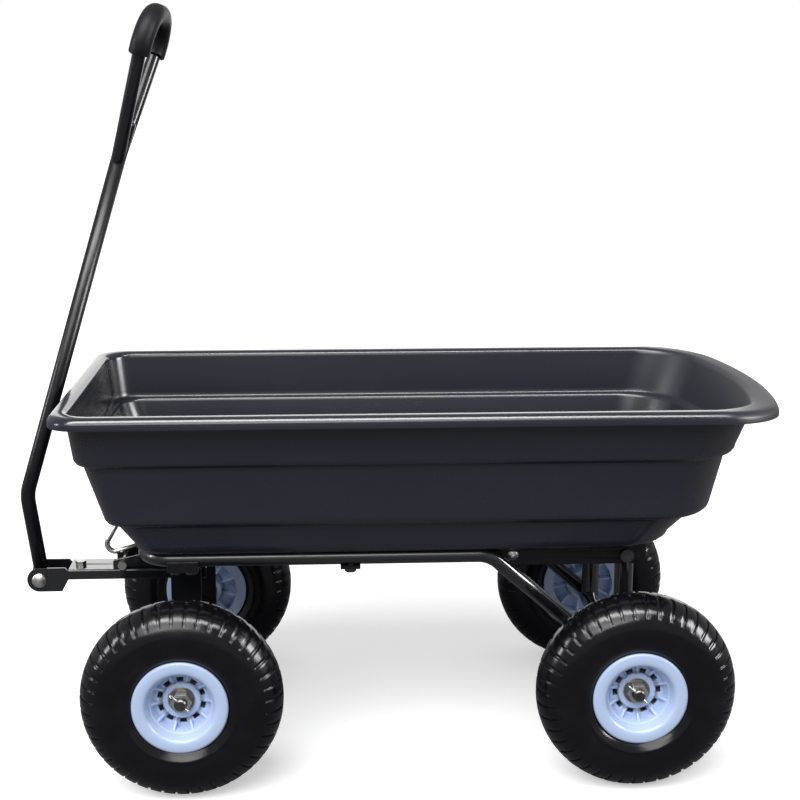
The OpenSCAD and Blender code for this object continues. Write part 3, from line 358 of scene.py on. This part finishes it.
join(shaft, eye)
paint(shaft, satin_paint)
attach(shaft, "handle")
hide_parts("handle_tube")

# Handle loop
# A closed plastic loop that the hand goes through; its two legs lean apart from the end of the shaft.
# The legs grow out of a short neck over the shaft, so that they run into each other.
loop_tube_r = 0.009
loop_spread = math.radians(17.5)
loop_twist = math.radians(-5)
loop_foot_r = 0.016
loop_foot_bend = 0.005
loop_bend = 0.040
loop_top = 0.170
loop_gap = 0.0003
loop_seam = (0.001, 0.002)
loop_voxel = 0.0012
neck_low_r = 0.0101
neck_high_r = 0.0108
neck_len = 0.050
neck_lift = 0.001
loop_drop = loop_foot_r / math.sin(loop_spread) - loop_foot_r
loop_half = (loop_top + loop_drop) * math.tan(loop_spread)
loop_base = shaft_end + shaft_way * (loop_tube_r + loop_gap)
loop_frame = (Matrix.Translation(loop_base) @ Matrix.Rotation(shaft_lean, 4, "Y")
              @ Matrix.Rotation(loop_twist, 4, "Z"))


def loop_spot(y, z):
    return loop_frame @ Vector((0, y, z))


def cap_ends():
    """Closes the two open ends of the tube that was made last."""
    bpy.ops.object.mode_set(mode="EDIT")
    bpy.ops.mesh.select_mode(type="EDGE")
    bpy.ops.mesh.select_all(action="DESELECT")
    bpy.ops.mesh.select_non_manifold()
    bpy.ops.mesh.edge_face_add()
    bpy.ops.mesh.select_all(action="SELECT")
    bpy.ops.mesh.normals_make_consistent(inside=False)
    bpy.ops.object.mode_set(mode="OBJECT")


# The bar starts and ends in the middle of the top, out of sight in the grip
path = [loop_spot(loop_seam[0], loop_top), loop_spot(-loop_half, loop_top), loop_spot(0, -loop_drop),
        loop_spot(loop_half, loop_top), loop_spot(loop_seam[1], loop_top)]
loop = bend_tube("handle_loop_bar", path, [loop_bend, loop_foot_bend, loop_bend], loop_tube_r, tube_sides)
cap_ends()
bpy.ops.object.select_all(action="DESELECT")
bpy.ops.mesh.primitive_cone_add(vertices=64, radius1=neck_low_r, radius2=neck_high_r, depth=neck_len,
                                location=loop_base + shaft_way * neck_lift, rotation=(0, shaft_lean, 0))
neck = bpy.context.object
bpy.ops.object.transform_apply(location=True, rotation=True, scale=True)
join(loop, neck)
apply_modifier(loop, "REMESH", mode="VOXEL", voxel_size=loop_voxel, use_smooth_shade=True)
apply_modifier(loop, "SMOOTH", factor=0.5, iterations=14)
loop_plastic, shader, place = new_finish("loop_plastic", {"Specular IOR Level": 0.5})
grain = place.noise(520.0, 3.0)
sheen = place.noise(34.0, 4.0).between(0.4, 0.8)
sheen.shades((0.0, (0.0075, 0.0078, 0.0115)), (1.0, (0.0130, 0.0135, 0.0185))).feeds(shader, "Base Color")
(0.17 + grain * 0.06 + sheen * 0.08).feeds(shader, "Roughness")
grain.bump(0.05, 0.0005).feeds(shader, "Normal")
paint(loop, loop_plastic)
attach(loop, "handle")
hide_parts("handle_loop")

# Grip
# A moulded rubber sleeve over the top of the loop, thicker than the tube and matt.
# Its two ends stop in a rounded edge, just below the bends.
grip_rubber, shader, place = new_finish("grip_rubber", {"Specular IOR Level": 0.17})
pebble = place.noise(900.0, 2.0)
rub = place.noise(40.0, 4.0).between(0.45, 0.8)
rub.shades((0.0, (0.0056, 0.0055, 0.0078)), (1.0, (0.0105, 0.0103, 0.0135))).feeds(shader, "Base Color")
(0.50 - rub * 0.10).feeds(shader, "Roughness")
pebble.bump(0.35, 0.0004).feeds(shader, "Normal")
grip_r = 0.014
grip_wall = 0.0049
grip_round = 0.0009
grip_tail = 0.001
leg_way = Vector((0, -loop_half, -loop_top - loop_drop)).normalized()
grip_reach = loop_bend * math.tan((math.pi / 2 + loop_spread) / 2) + grip_tail
tail = Vector((0, loop_half, loop_top)) + leg_way * grip_reach
path = [loop_spot(tail.y, tail.z), loop_spot(loop_half, loop_top), loop_spot(-loop_half, loop_top),
        loop_spot(-tail.y, tail.z)]
grip = bend_tube("grip", path, [loop_bend, loop_bend], grip_r, 48)
apply_modifier(grip, "SOLIDIFY", thickness=grip_wall, offset=-1)
apply_modifier(grip, "BEVEL", width=grip_round, segments=3, limit_method="ANGLE",
               angle_limit=math.radians(50))
bpy.ops.object.mode_set(mode="EDIT")
bpy.ops.mesh.select_all(action="SELECT")
bpy.ops.mesh.remove_doubles(threshold=weld_gap)
bpy.ops.object.mode_set(mode="OBJECT")
bpy.ops.object.shade_smooth_by_angle(angle=math.radians(40))
paint(grip, grip_rubber)
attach(grip, "handle")
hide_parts("handle_grip")

# Tub
# One thick plastic moulding with two steps round its wall and a rolled lip, longer at the pouring end.
# The plastic is black with a blue cast, satin all over and rubbed dull at the pouring end.
tub_plastic, shader, place = new_finish("tub_plastic", {"Specular IOR Level": 0.45})
grain = place.noise(650.0, 3.0, 0.6)
flow = place.stretched((3.0, 3.0, 9.0)).noise(1.0, 5.0).between(0.3, 0.75)
scuff = place.stretched((12.0, 12.0, 60.0)).noise(1.0, 6.0, 0.7).between(0.62, 0.8)
tone = flow * 0.7 + scuff * 0.3
tone.shades((0.0, (0.0170, 0.0177, 0.0285)), (1.0, (0.0220, 0.0228, 0.0350))).feeds(shader, "Base Color")
height = place.node("ShaderNodeSeparateXYZ", {}, {"Vector": place}, "Z")
along = place.node("ShaderNodeSeparateXYZ", {}, {"Vector": place}, "X")
rubbed = along.between(0.36, 0.49)
polish = height.between(0.484, 0.497) * (1 - rubbed)
roughness = 0.20 + grain * 0.06 + flow * 0.05 + scuff * 0.10 - polish * 0.10 + rubbed * 0.30
roughness.feeds(shader, "Roughness")
grain.bump(0.10, 0.0005).feeds(shader, "Normal")

floor_low = 0.3023
tub_front = -0.417626
tub_rear = 0.484374
tub_half = 0.215
tub_wall = 0.004
tub_base = 0.0056
floor_inset = 0.02
floor_margin = 0.0004
tub_rise = 0.197
corner_front = 0.036
corner_rear = 0.066
corner_steps = 14
side_stops = (0.24, 0.06, -0.12, -0.30)
front_shares = (0.6, 0.3, 0, -0.3, -0.6)
rear_steps = 12
end_bow = 0.040
end_sink = 0.008
sink_from = 0.366874
lip_end = 0.514374


def corner_arc(x, y, r, start):
    turns = [start + math.pi / 2 * i / corner_steps for i in range(corner_steps + 1)]
    return [Vector((x + r * math.cos(turn), y + r * math.sin(turn), 0)) for turn in turns]


def tub_outline(front, rear, half):
    """Plan of the tub: round corners, tighter at the front, and a pouring end that bows out."""
    spots = corner_arc(rear - corner_rear, half - corner_rear, corner_rear, 0)
    spots += [Vector((x, half, 0)) for x in side_stops]
    spots += corner_arc(front + corner_front, half - corner_front, corner_front, math.pi / 2)
    spots += [Vector((front, half * share, 0)) for share in front_shares]
    spots += corner_arc(front + corner_front, corner_front - half, corner_front, math.pi)
    spots += [Vector((x, -half, 0)) for x in reversed(side_stops)]
    spots += corner_arc(rear - corner_rear, corner_rear - half, corner_rear, 3 * math.pi / 2)
    shares = [2 * i / rear_steps - 1 for i in range(1, rear_steps)]
    spots += [Vector((rear, (half - corner_rear) * share, 0)) for share in shares]
    for spot in spots:
        spot.x -= end_bow * (spot.y / half) ** 2 * max(0, spot.x) / rear
    return spots


# Inner skin of the tub from the floor up: height, then how far it stands in at the sides, front and rear
tub_rows = [
    (0.0056, 0.0540, 0.0880, 0.1160), (0.0066, 0.0500, 0.0840, 0.1120),
    (0.0098, 0.0468, 0.0808, 0.1088), (0.0160, 0.0455, 0.0790, 0.1062),
    (0.0424, 0.0377, 0.0594, 0.0784), (0.0456, 0.0364, 0.0572, 0.0748),
    (0.0470, 0.0346, 0.0546, 0.0708), (0.0484, 0.0298, 0.0466, 0.0584),
    (0.0508, 0.0286, 0.0450, 0.0560), (0.0552, 0.0278, 0.0438, 0.0544),
    (0.1246, 0.0192, 0.0218, 0.0378), (0.1280, 0.0180, 0.0202, 0.0360),
    (0.1294, 0.0164, 0.0182, 0.0334), (0.1306, 0.0126, 0.0126, 0.0266),
    (0.1330, 0.0116, 0.0112, 0.0252), (0.1374, 0.0110, 0.0106, 0.0244),
    (0.1880, 0.0042, 0.0042, 0.0046), (0.1930, 0.0034, 0.0034, 0.0034),
    (0.1956, 0.0012, 0.0012, 0.0012), (0.1968, -0.0030, -0.0030, -0.0040),
    (0.1970, -0.0108, -0.0100, -0.0180), (0.1966, -0.0146, -0.0124, -0.0224),
    (0.1956, -0.0166, -0.0140, -0.0248), (0.1946, -0.0177, -0.0149, -0.0262),
    (0.1912, -0.0203, -0.0173, -0.0292), (0.1892, -0.0210, -0.0180, -0.0300),
    (0.1822, -0.0210, -0.0180, -0.0300)]
outline = tub_outline(tub_front, tub_rear, tub_half)
bpy.ops.object.select_all(action="DESELECT")
bpy.ops.mesh.primitive_circle_add(vertices=len(outline), radius=1.0, fill_type="NGON")
tub = bpy.context.object
tub.name = "tub_moulding"
for vertex, spot in zip(tub.data.vertices, outline):
    vertex.co = spot
bpy.ops.object.mode_set(mode="EDIT")
bpy.ops.mesh.select_mode(type="EDGE")
bpy.ops.mesh.select_all(action="SELECT")
bpy.ops.mesh.inset(thickness=floor_inset)
here = (0.0, 0.0, 0.0, 0.0)
for row in tub_rows:
    floor_row = row == tub_rows[0]
    half_then, half_now = tub_half - here[1], tub_half - row[1]
    front_then, front_now = tub_front + here[2], tub_front + row[2]
    rear_then, rear_now = tub_rear - here[3], tub_rear - row[3]
    middle_then, middle_now = (front_then + rear_then) / 2, (front_now + rear_now) / 2
    grow = ((rear_now - front_now) / (rear_then - front_then), half_now / half_then, 1)
    centre = (middle_then, 0, here[0])
    if floor_row:
        bpy.ops.mesh.select_all(action="SELECT")
        bpy.ops.transform.translate(value=(0, 0, row[0] + floor_low))
    else:
        bpy.ops.mesh.extrude_region_move(TRANSFORM_OT_translate={"value": (0, 0, row[0] - here[0])})
    bpy.ops.transform.resize(value=grow, center_override=centre)
    bpy.ops.transform.translate(value=(middle_now - middle_then, 0, 0))
    if floor_row:
        bpy.ops.mesh.select_all(action="DESELECT")
        bpy.ops.mesh.select_non_manifold()
    here = row
bpy.ops.mesh.select_all(action="SELECT")
bpy.ops.mesh.normals_make_consistent(inside=False)
bpy.ops.object.mode_set(mode="OBJECT")
thick = tub.vertex_groups.new(name="thick")
for vertex in tub.data.vertices:
    in_floor = vertex.co.z < floor_low + tub_base + floor_margin
    thick.add([vertex.index], 1.0 if in_floor else tub_wall / tub_base, "REPLACE")
    lift = (vertex.co.z - floor_low) / tub_rise
    reach = max(0, vertex.co.x - sink_from) / (lip_end - sink_from)
    vertex.co.z -= end_sink * lift ** 4 * reach ** 2
apply_modifier(tub, "SOLIDIFY", thickness=tub_base, offset=-1, vertex_group="thick",
               use_quality_normals=True)
bpy.ops.object.shade_smooth_by_angle(angle=math.radians(50))
paint(tub, tub_plastic)
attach(tub, "tipping_tub")
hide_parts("tub")

# Release lever
# A bent zinc rod that hangs on a pin in the bracket on the front wall of the tub.
# Pulling its bend forward lets go of the front bar.
latch_pin = Vector((-0.371895, 0, 0.317777))
lever_bend = Vector((bar_x - 0.079, 0, 0.249))
lever_end = Vector((bar_x - 0.0135, 0, 0.267))
lever_r = 0.00375
lever_bend_r = 0.011
boss_r = 0.0075
boss_len = 0.0164
boss_round = 0.0008
lever = bend_tube("release_rod", [latch_pin, lever_bend, lever_end], [lever_bend_r], lever_r, 24)
cap_ends()
bpy.ops.object.select_all(action="DESELECT")
bpy.ops.mesh.primitive_cylinder_add(vertices=40, radius=boss_r, depth=boss_len, location=latch_pin,
                                    rotation=(math.pi / 2, 0, 0))
boss = bpy.context.object
bpy.ops.object.transform_apply(location=True, rotation=True, scale=True)
apply_modifier(boss, "BEVEL", width=boss_round, segments=2, limit_method="ANGLE",
               angle_limit=math.radians(40))
bpy.ops.object.shade_smooth_by_angle(angle=math.radians(30))
join(lever, boss)
paint(lever, zinc)
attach(lever, "release")
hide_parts("release_lever")

# Tyres
# Pneumatic rubber tyres with a round section, a raised ring on the side wall and grooves between the lugs.
# The rubber is black with a tight shine and a dull bloom in places; each tyre is moulded in one piece.
tyre_rubber, shader, place = new_finish("tyre_rubber", {"Specular IOR Level": 0.3})
grain = place.noise(700.0, 3.0, 0.6)
bloom = place.noise(26.0, 5.0, 0.6).between(0.4, 0.8)
bloom.shades((0.0, (0.0030, 0.0030, 0.0052)), (1.0, (0.0062, 0.0062, 0.0088))).feeds(shader, "Base Color")
(0.12 + grain * 0.05 + bloom * 0.13).feeds(shader, "Roughness")
grain.bump(0.16, 0.0005).feeds(shader, "Normal")

tyre_side = [(0.0506, 0.0200), (0.0506, 0.0318), (0.0600, 0.0321), (0.0622, 0.0328), (0.0640, 0.0344),
             (0.0668, 0.0364), (0.0698, 0.0380), (0.0714, 0.0391), (0.0730, 0.0396), (0.0746, 0.0392),
             (0.0766, 0.0394), (0.0820, 0.0408), (0.0880, 0.0414), (0.0940, 0.0411), (0.0990, 0.0402),
             (0.1030, 0.0388), (0.1062, 0.0375), (0.1085, 0.0363), (0.1126, 0.0338), (0.1165, 0.0306),
             (0.1205, 0.0263), (0.1238, 0.0215), (0.1265, 0.0163), (0.1284, 0.0108), (0.1294, 0.0058),
             (0.1296, 0.0036)]
tyre_inner = [(0.1180, 0.0), (0.1120, -0.0180), (0.0980, -0.0290), (0.0800, -0.0310), (0.0640, -0.0250)]
section = tyre_side + [(r, -y) for r, y in reversed(tyre_side)] + [(r, y) for r, y in reversed(tyre_inner)]
section += [(r, -y) for r, y in tyre_inner[1:]]
lug_count = 44
lug_steps = 5
around = lug_count * lug_steps
groove_depth = 0.0020
groove_from = 0.1086
band_half = 0.0040
lug_round = 0.0007
seam_gap = 0.0001


def spun(name, spots, steps, closed=True):
    """A section turned once about the axle, closed in itself or open."""
    bpy.ops.object.select_all(action="DESELECT")
    bpy.ops.mesh.primitive_circle_add(vertices=len(spots), radius=0.01)
    made = bpy.context.object
    made.name = name
    for vertex, (r, y) in zip(made.data.vertices, spots):
        vertex.co = (r, y, 0)
    bpy.ops.object.mode_set(mode="EDIT")
    if not closed:
        bpy.ops.mesh.select_mode(type="EDGE")
        bpy.ops.mesh.select_all(action="DESELECT")
        bpy.ops.object.mode_set(mode="OBJECT")
        for edge in made.data.edges:
            edge.select = set(edge.vertices) == {0, len(spots) - 1}
        bpy.ops.object.mode_set(mode="EDIT")
        bpy.ops.mesh.delete(type="EDGE")
    bpy.ops.mesh.select_all(action="SELECT")
    bpy.ops.mesh.spin(steps=steps, angle=2 * math.pi, center=(0, 0, 0), axis=(0, 1, 0))
    bpy.ops.mesh.select_all(action="SELECT")
    bpy.ops.mesh.remove_doubles(threshold=seam_gap)
    bpy.ops.mesh.normals_make_consistent(inside=False)
    bpy.ops.object.mode_set(mode="OBJECT")
    bpy.ops.object.shade_smooth_by_angle(angle=math.radians(35))
    return made


tyre = spun("tyre_pattern", section, around)
bpy.ops.object.mode_set(mode="EDIT")
bpy.ops.mesh.select_mode(type="FACE")
bpy.ops.mesh.select_all(action="DESELECT")
bpy.ops.object.mode_set(mode="OBJECT")
for face in tyre.data.polygons:
    middle = face.center
    radius = math.hypot(middle.x, middle.z)
    turn = math.atan2(middle.z, middle.x) / (2 * math.pi) * around
    if middle.y < 0:
        turn += lug_steps // 2
    outside = face.normal.dot(Vector((middle.x, 0, middle.z))) > 0
    groove = turn % lug_steps >= lug_steps - 1
    face.select = outside and groove and radius > groove_from and abs(middle.y) > band_half
bpy.ops.object.mode_set(mode="EDIT")
bpy.ops.mesh.extrude_region_shrink_fatten(TRANSFORM_OT_shrink_fatten={"value": -groove_depth})
bpy.ops.object.mode_set(mode="OBJECT")
apply_modifier(tyre, "BEVEL", width=lug_round, segments=2, limit_method="ANGLE",
               angle_limit=math.radians(42))
bpy.ops.object.shade_smooth_by_angle(angle=math.radians(35))
paint(tyre, tyre_rubber)

# Rims
# Moulded plastic rims in a pale blue white: a broad round flange, a deep dish and a ribbed hub.
# Between the ribs the web has windows, closed by a disc far behind, so dark gaps show round the hub; over
# that band the colour is painted darker as painted shade.
wheel_mid = (axle_front_x + axle_rear_x) / 2
half_base = (axle_rear_x - axle_front_x) / 2
rim_plastic, shader, place = new_finish("rim_plastic", {"Specular IOR Level": 0.5})
cloud = place.noise(38.0, 4.0)
speck = place.noise(420.0, 3.0)
along = place.node("ShaderNodeSeparateXYZ", {}, {"Vector": place}, "X")
height = place.node("ShaderNodeSeparateXYZ", {}, {"Vector": place}, "Z")
across = place.node("ShaderNodeMath", {"operation": "ABSOLUTE"}, {0: along - wheel_mid}) - half_base
reach = ((across * across) + (height - axle_z) * (height - axle_z)).power(0.5)
# Painted shade: the dish is coloured darker in a band over the windows and the disc behind them, where shade
# falls in the recess, and the hub ring stays pale
painted_hub_shade = (reach + cloud * 0.008).between(0.037, 0.029) * reach.between(0.0225, 0.0245)
tone = painted_hub_shade * 0.8 + cloud * 0.2
tone.shades((0.0, (0.50, 0.62, 0.88)), (0.45, (0.50, 0.61, 0.82)),
            (1.0, (0.17, 0.20, 0.27))).feeds(shader, "Base Color")
(0.26 + cloud * 0.10 + speck * 0.06).feeds(shader, "Roughness")
speck.bump(0.05, 0.0004).feeds(shader, "Normal")

rim_section = [(0.0460, -0.0365), (0.0600, -0.0365), (0.0610, -0.0355), (0.0610, -0.0325), (0.0500, -0.0325),
               (0.0500, 0.0325), (0.0610, 0.0325), (0.0612, 0.0340), (0.0606, 0.0352), (0.0594, 0.0361),
               (0.0575, 0.0366), (0.0520, 0.0366), (0.0480, 0.0364), (0.0455, 0.0354), (0.0440, 0.0336),
               (0.0410, 0.0235), (0.0402, 0.0218), (0.0388, 0.0210), (0.0382, 0.0196), (0.0347, 0.0085),
               (0.0340, 0.0045), (0.0380, 0.0045), (0.0445, 0.0240), (0.0460, 0.0250)]
hub_section = [(0.0120, -0.0295), (0.01755, -0.0295), (0.01755, -0.0404), (0.0222, -0.0404),
               (0.0230, -0.0396), (0.0230, 0.0080), (0.0222, 0.0088), (0.01755, 0.0088),
               (0.01755, -0.0022), (0.0120, -0.0022)]

rim = spun("rim_pattern", rim_section, 96)
hub = spun("hub_pattern", hub_section, 64)
web_steps = 80
rib_count = 10
window_low, window_high = 0.0250, 0.0312
window_from, window_to = 2, 6
web_y = 0.0085
web_wall = 0.004
web_round = 0.0005
web = spun("web_pattern", [(0.0226, web_y), (window_low, web_y), (window_high, web_y), (0.0360, web_y)],
           web_steps, False)
bpy.ops.object.mode_set(mode="EDIT")
bpy.ops.mesh.select_mode(type="FACE")
bpy.ops.mesh.select_all(action="DESELECT")
bpy.ops.object.mode_set(mode="OBJECT")
for face in web.data.polygons:
    middle = face.center
    turn = (math.atan2(middle.z, middle.x) / (2 * math.pi) * web_steps) % (web_steps / rib_count)
    radius = math.hypot(middle.x, middle.z)
    face.select = window_from < turn < window_to and window_low < radius < window_high
bpy.ops.object.mode_set(mode="EDIT")
bpy.ops.mesh.delete(type="FACE")
bpy.ops.object.mode_set(mode="OBJECT")
apply_modifier(web, "SOLIDIFY", thickness=web_wall, offset=-1)
apply_modifier(web, "BEVEL", width=web_round, segments=2, limit_method="ANGLE", angle_limit=math.radians(50))


def rim_rib(size, spot, corners, edge, step):
    """One rib: a bar with some of its corners moved, rounded and turned to its place about the axle."""
    bpy.ops.object.select_all(action="DESELECT")
    bpy.ops.mesh.primitive_cube_add(size=1)
    rib = bpy.context.object
    rib.scale = size
    rib.location = spot
    bpy.ops.object.transform_apply(location=True, rotation=True, scale=True)
    for vertex in rib.data.vertices:
        corner = (vertex.co.x > spot[0], vertex.co.y > spot[1])
        if corner in corners:
            vertex.co.x, vertex.co.y = corners[corner]
    apply_modifier(rib, "BEVEL", width=edge, segments=2, limit_method="ANGLE", angle_limit=math.radians(40))
    rib.data.transform(Matrix.Rotation(2 * math.pi * step / rib_count, 4, "Y"))
    return rib


# The two kinds of rib, in the dish and behind the web: size, middle, moved corners and round of the edges
rib_wide = 0.0032
dish_rib = ((0.0150, 0.0130, rib_wide), (0.0295, 0.0110, 0),
            {(False, True): (0.0220, 0.0086), (True, True): (0.0392, 0.0205)}, 0.0005)
back_rib = ((0.0270, 0.0390, rib_wide), (0.0345, -0.0130, 0), {(False, False): (0.0210, -0.0265)}, 0.0006)
ribs = []
for step in range(rib_count):
    ribs.append(rim_rib(*dish_rib, step))
    ribs.append(rim_rib(*back_rib, step))
back = spun("back_pattern", [(0.0222, -0.0180), (0.0470, -0.0180), (0.0470, -0.0160), (0.0222, -0.0160)], 96)
join(rim, *ribs, hub, web, back)
bpy.ops.object.shade_smooth_by_angle(angle=math.radians(35))
paint(rim, rim_plastic)

# The four wheels
# Each wheel is a copy of the same tyre and rim, turned so that the deep dish faces outwards.
# The inner tube stays out of sight in the tyre, apart from its valve inside the rim.
inner_rubber, shader, place = new_finish("inner_rubber", {"Specular IOR Level": 0.4})
grain = place.noise(300.0, 3.0)
grain.shades((0.3, (0.010, 0.010, 0.011)), (0.7, (0.018, 0.018, 0.019))).feeds(shader, "Base Color")
(0.5 + grain * 0.2).feeds(shader, "Roughness")
wheel_y = 0.220
wheel_turns = {"front_left": 14, "front_right": 3, "rear_left": -9, "rear_right": 21}
for end, x in (("front", axle_front_x), ("rear", axle_rear_x)):
    for hand, side in (("left", 1), ("right", -1)):
        corner = end + "_" + hand
        facing = 0 if side > 0 else math.pi
        seat = (Matrix.Translation((x, side * wheel_y, axle_z)) @ Matrix.Rotation(facing, 4, "Z")
                @ Matrix.Rotation(math.radians(wheel_turns[corner]), 4, "Y"))
        for pattern, piece_name, node_end, slot in ((tyre, "lugged_tyre", "_tyre", "tyre_rubber"),
                                                    (rim, "ribbed_rim", "_rim", "rim_plastic")):
            piece = bpy.data.objects.new(corner + "_" + piece_name, pattern.data.copy())
            bpy.context.scene.collection.objects.link(piece)
            piece.data.transform(seat)
            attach(piece, corner + "_wheel")
            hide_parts(corner + node_end)
        dress(inner_rubber, 0.0, corner + "_tube")
bpy.data.objects.remove(tyre)
bpy.data.objects.remove(rim)

# Floor, light and background
# A plain pale floor runs out to a white background, under one broad soft light from above.
# Softboxes on all sides and above give the black surfaces their long highlights.
floor_size = 60
floor_gap = 0.0005
fill_light = 0.50
white_behind = 0.52
bpy.ops.object.select_all(action="DESELECT")
bpy.ops.mesh.primitive_plane_add(size=floor_size, location=(0, 0, -floor_gap))
floor = bpy.context.object
floor.name = "floor"
floor_paint, shader, place = new_finish("floor_paint", {"Roughness": 0.9, "Specular IOR Level": 0.0,
                                                         "Emission Strength": 1.0})
rays = floor_paint.node_tree.nodes.new("ShaderNodeLightPath")
seen = Field(floor_paint.node_tree, rays.outputs["Is Camera Ray"])
seen.shades((0.0, (0.22, 0.22, 0.23)), (1.0, (0.90, 0.90, 0.90))).feeds(shader, "Base Color")
seen.shades((0.0, (0.0, 0.0, 0.0)), (1.0, (0.42, 0.42, 0.42))).feeds(shader, "Emission Color")
paint(floor, floor_paint)

world = bpy.data.worlds.new("studio")
bpy.context.scene.world = world
world.use_nodes = True
background = world.node_tree.nodes["Background"]
rays = world.node_tree.nodes.new("ShaderNodeLightPath")
camera_ray = Field(world.node_tree, rays.outputs["Is Camera Ray"])
through_ray = Field(world.node_tree, rays.outputs["Is Transmission Ray"])
(fill_light + (camera_ray + through_ray).between(0.0, 1.0) * white_behind).feeds(background, "Strength")
background.inputs["Color"].default_value = (1, 1, 1, 1)

sun_data = bpy.data.lights.new("broad_light", "SUN")
sun_data.energy = 2.9
sun_data.angle = math.radians(50)
sun_data.specular_factor = 0.0
sun = bpy.data.objects.new("broad_light", sun_data)
sun.rotation_euler = (Vector((0.30, 0.75, -1.0))).to_track_quat("-Z", "Y").to_euler()
bpy.context.scene.collection.objects.link(sun)
softboxes = [
    ("front_softbox", (-0.6, -3.2, 2.3), (0, 0, 0.4), 2.4, 1.0, 18),
    ("top_softbox", (-0.1, -1.5, 3.0), (0, -0.2, 0.4), 3.4, 0.6, 120),
    ("left_softbox", (-3.4, -0.6, 1.5), (0, 0, 0.6), 0.5, 1.3, 40),
    ("right_softbox", (3.15, -1.15, 1.6), (0.2, -0.15, 0.2), 1.4, 1.4, 150),
    ("back_softbox", (0.2, 3.6, 0.95), (0, 0, 0.5), 4.6, 1.7, 38)]
for name, spot, aim, wide, tall, energy in softboxes:
    lamp_data = bpy.data.lights.new(name, "AREA")
    lamp_data.shape = "RECTANGLE"
    lamp_data.size = wide
    lamp_data.size_y = tall
    lamp_data.energy = energy
    lamp = bpy.data.objects.new(name, lamp_data)
    lamp.location = spot
    lamp.rotation_euler = (Vector(aim) - Vector(spot)).to_track_quat("-Z", "Y").to_euler()
    lamp.visible_camera = False
    lamp.visible_diffuse = False
    bpy.context.scene.collection.objects.link(lamp)
bpy.context.scene.view_settings.view_transform = "Standard"
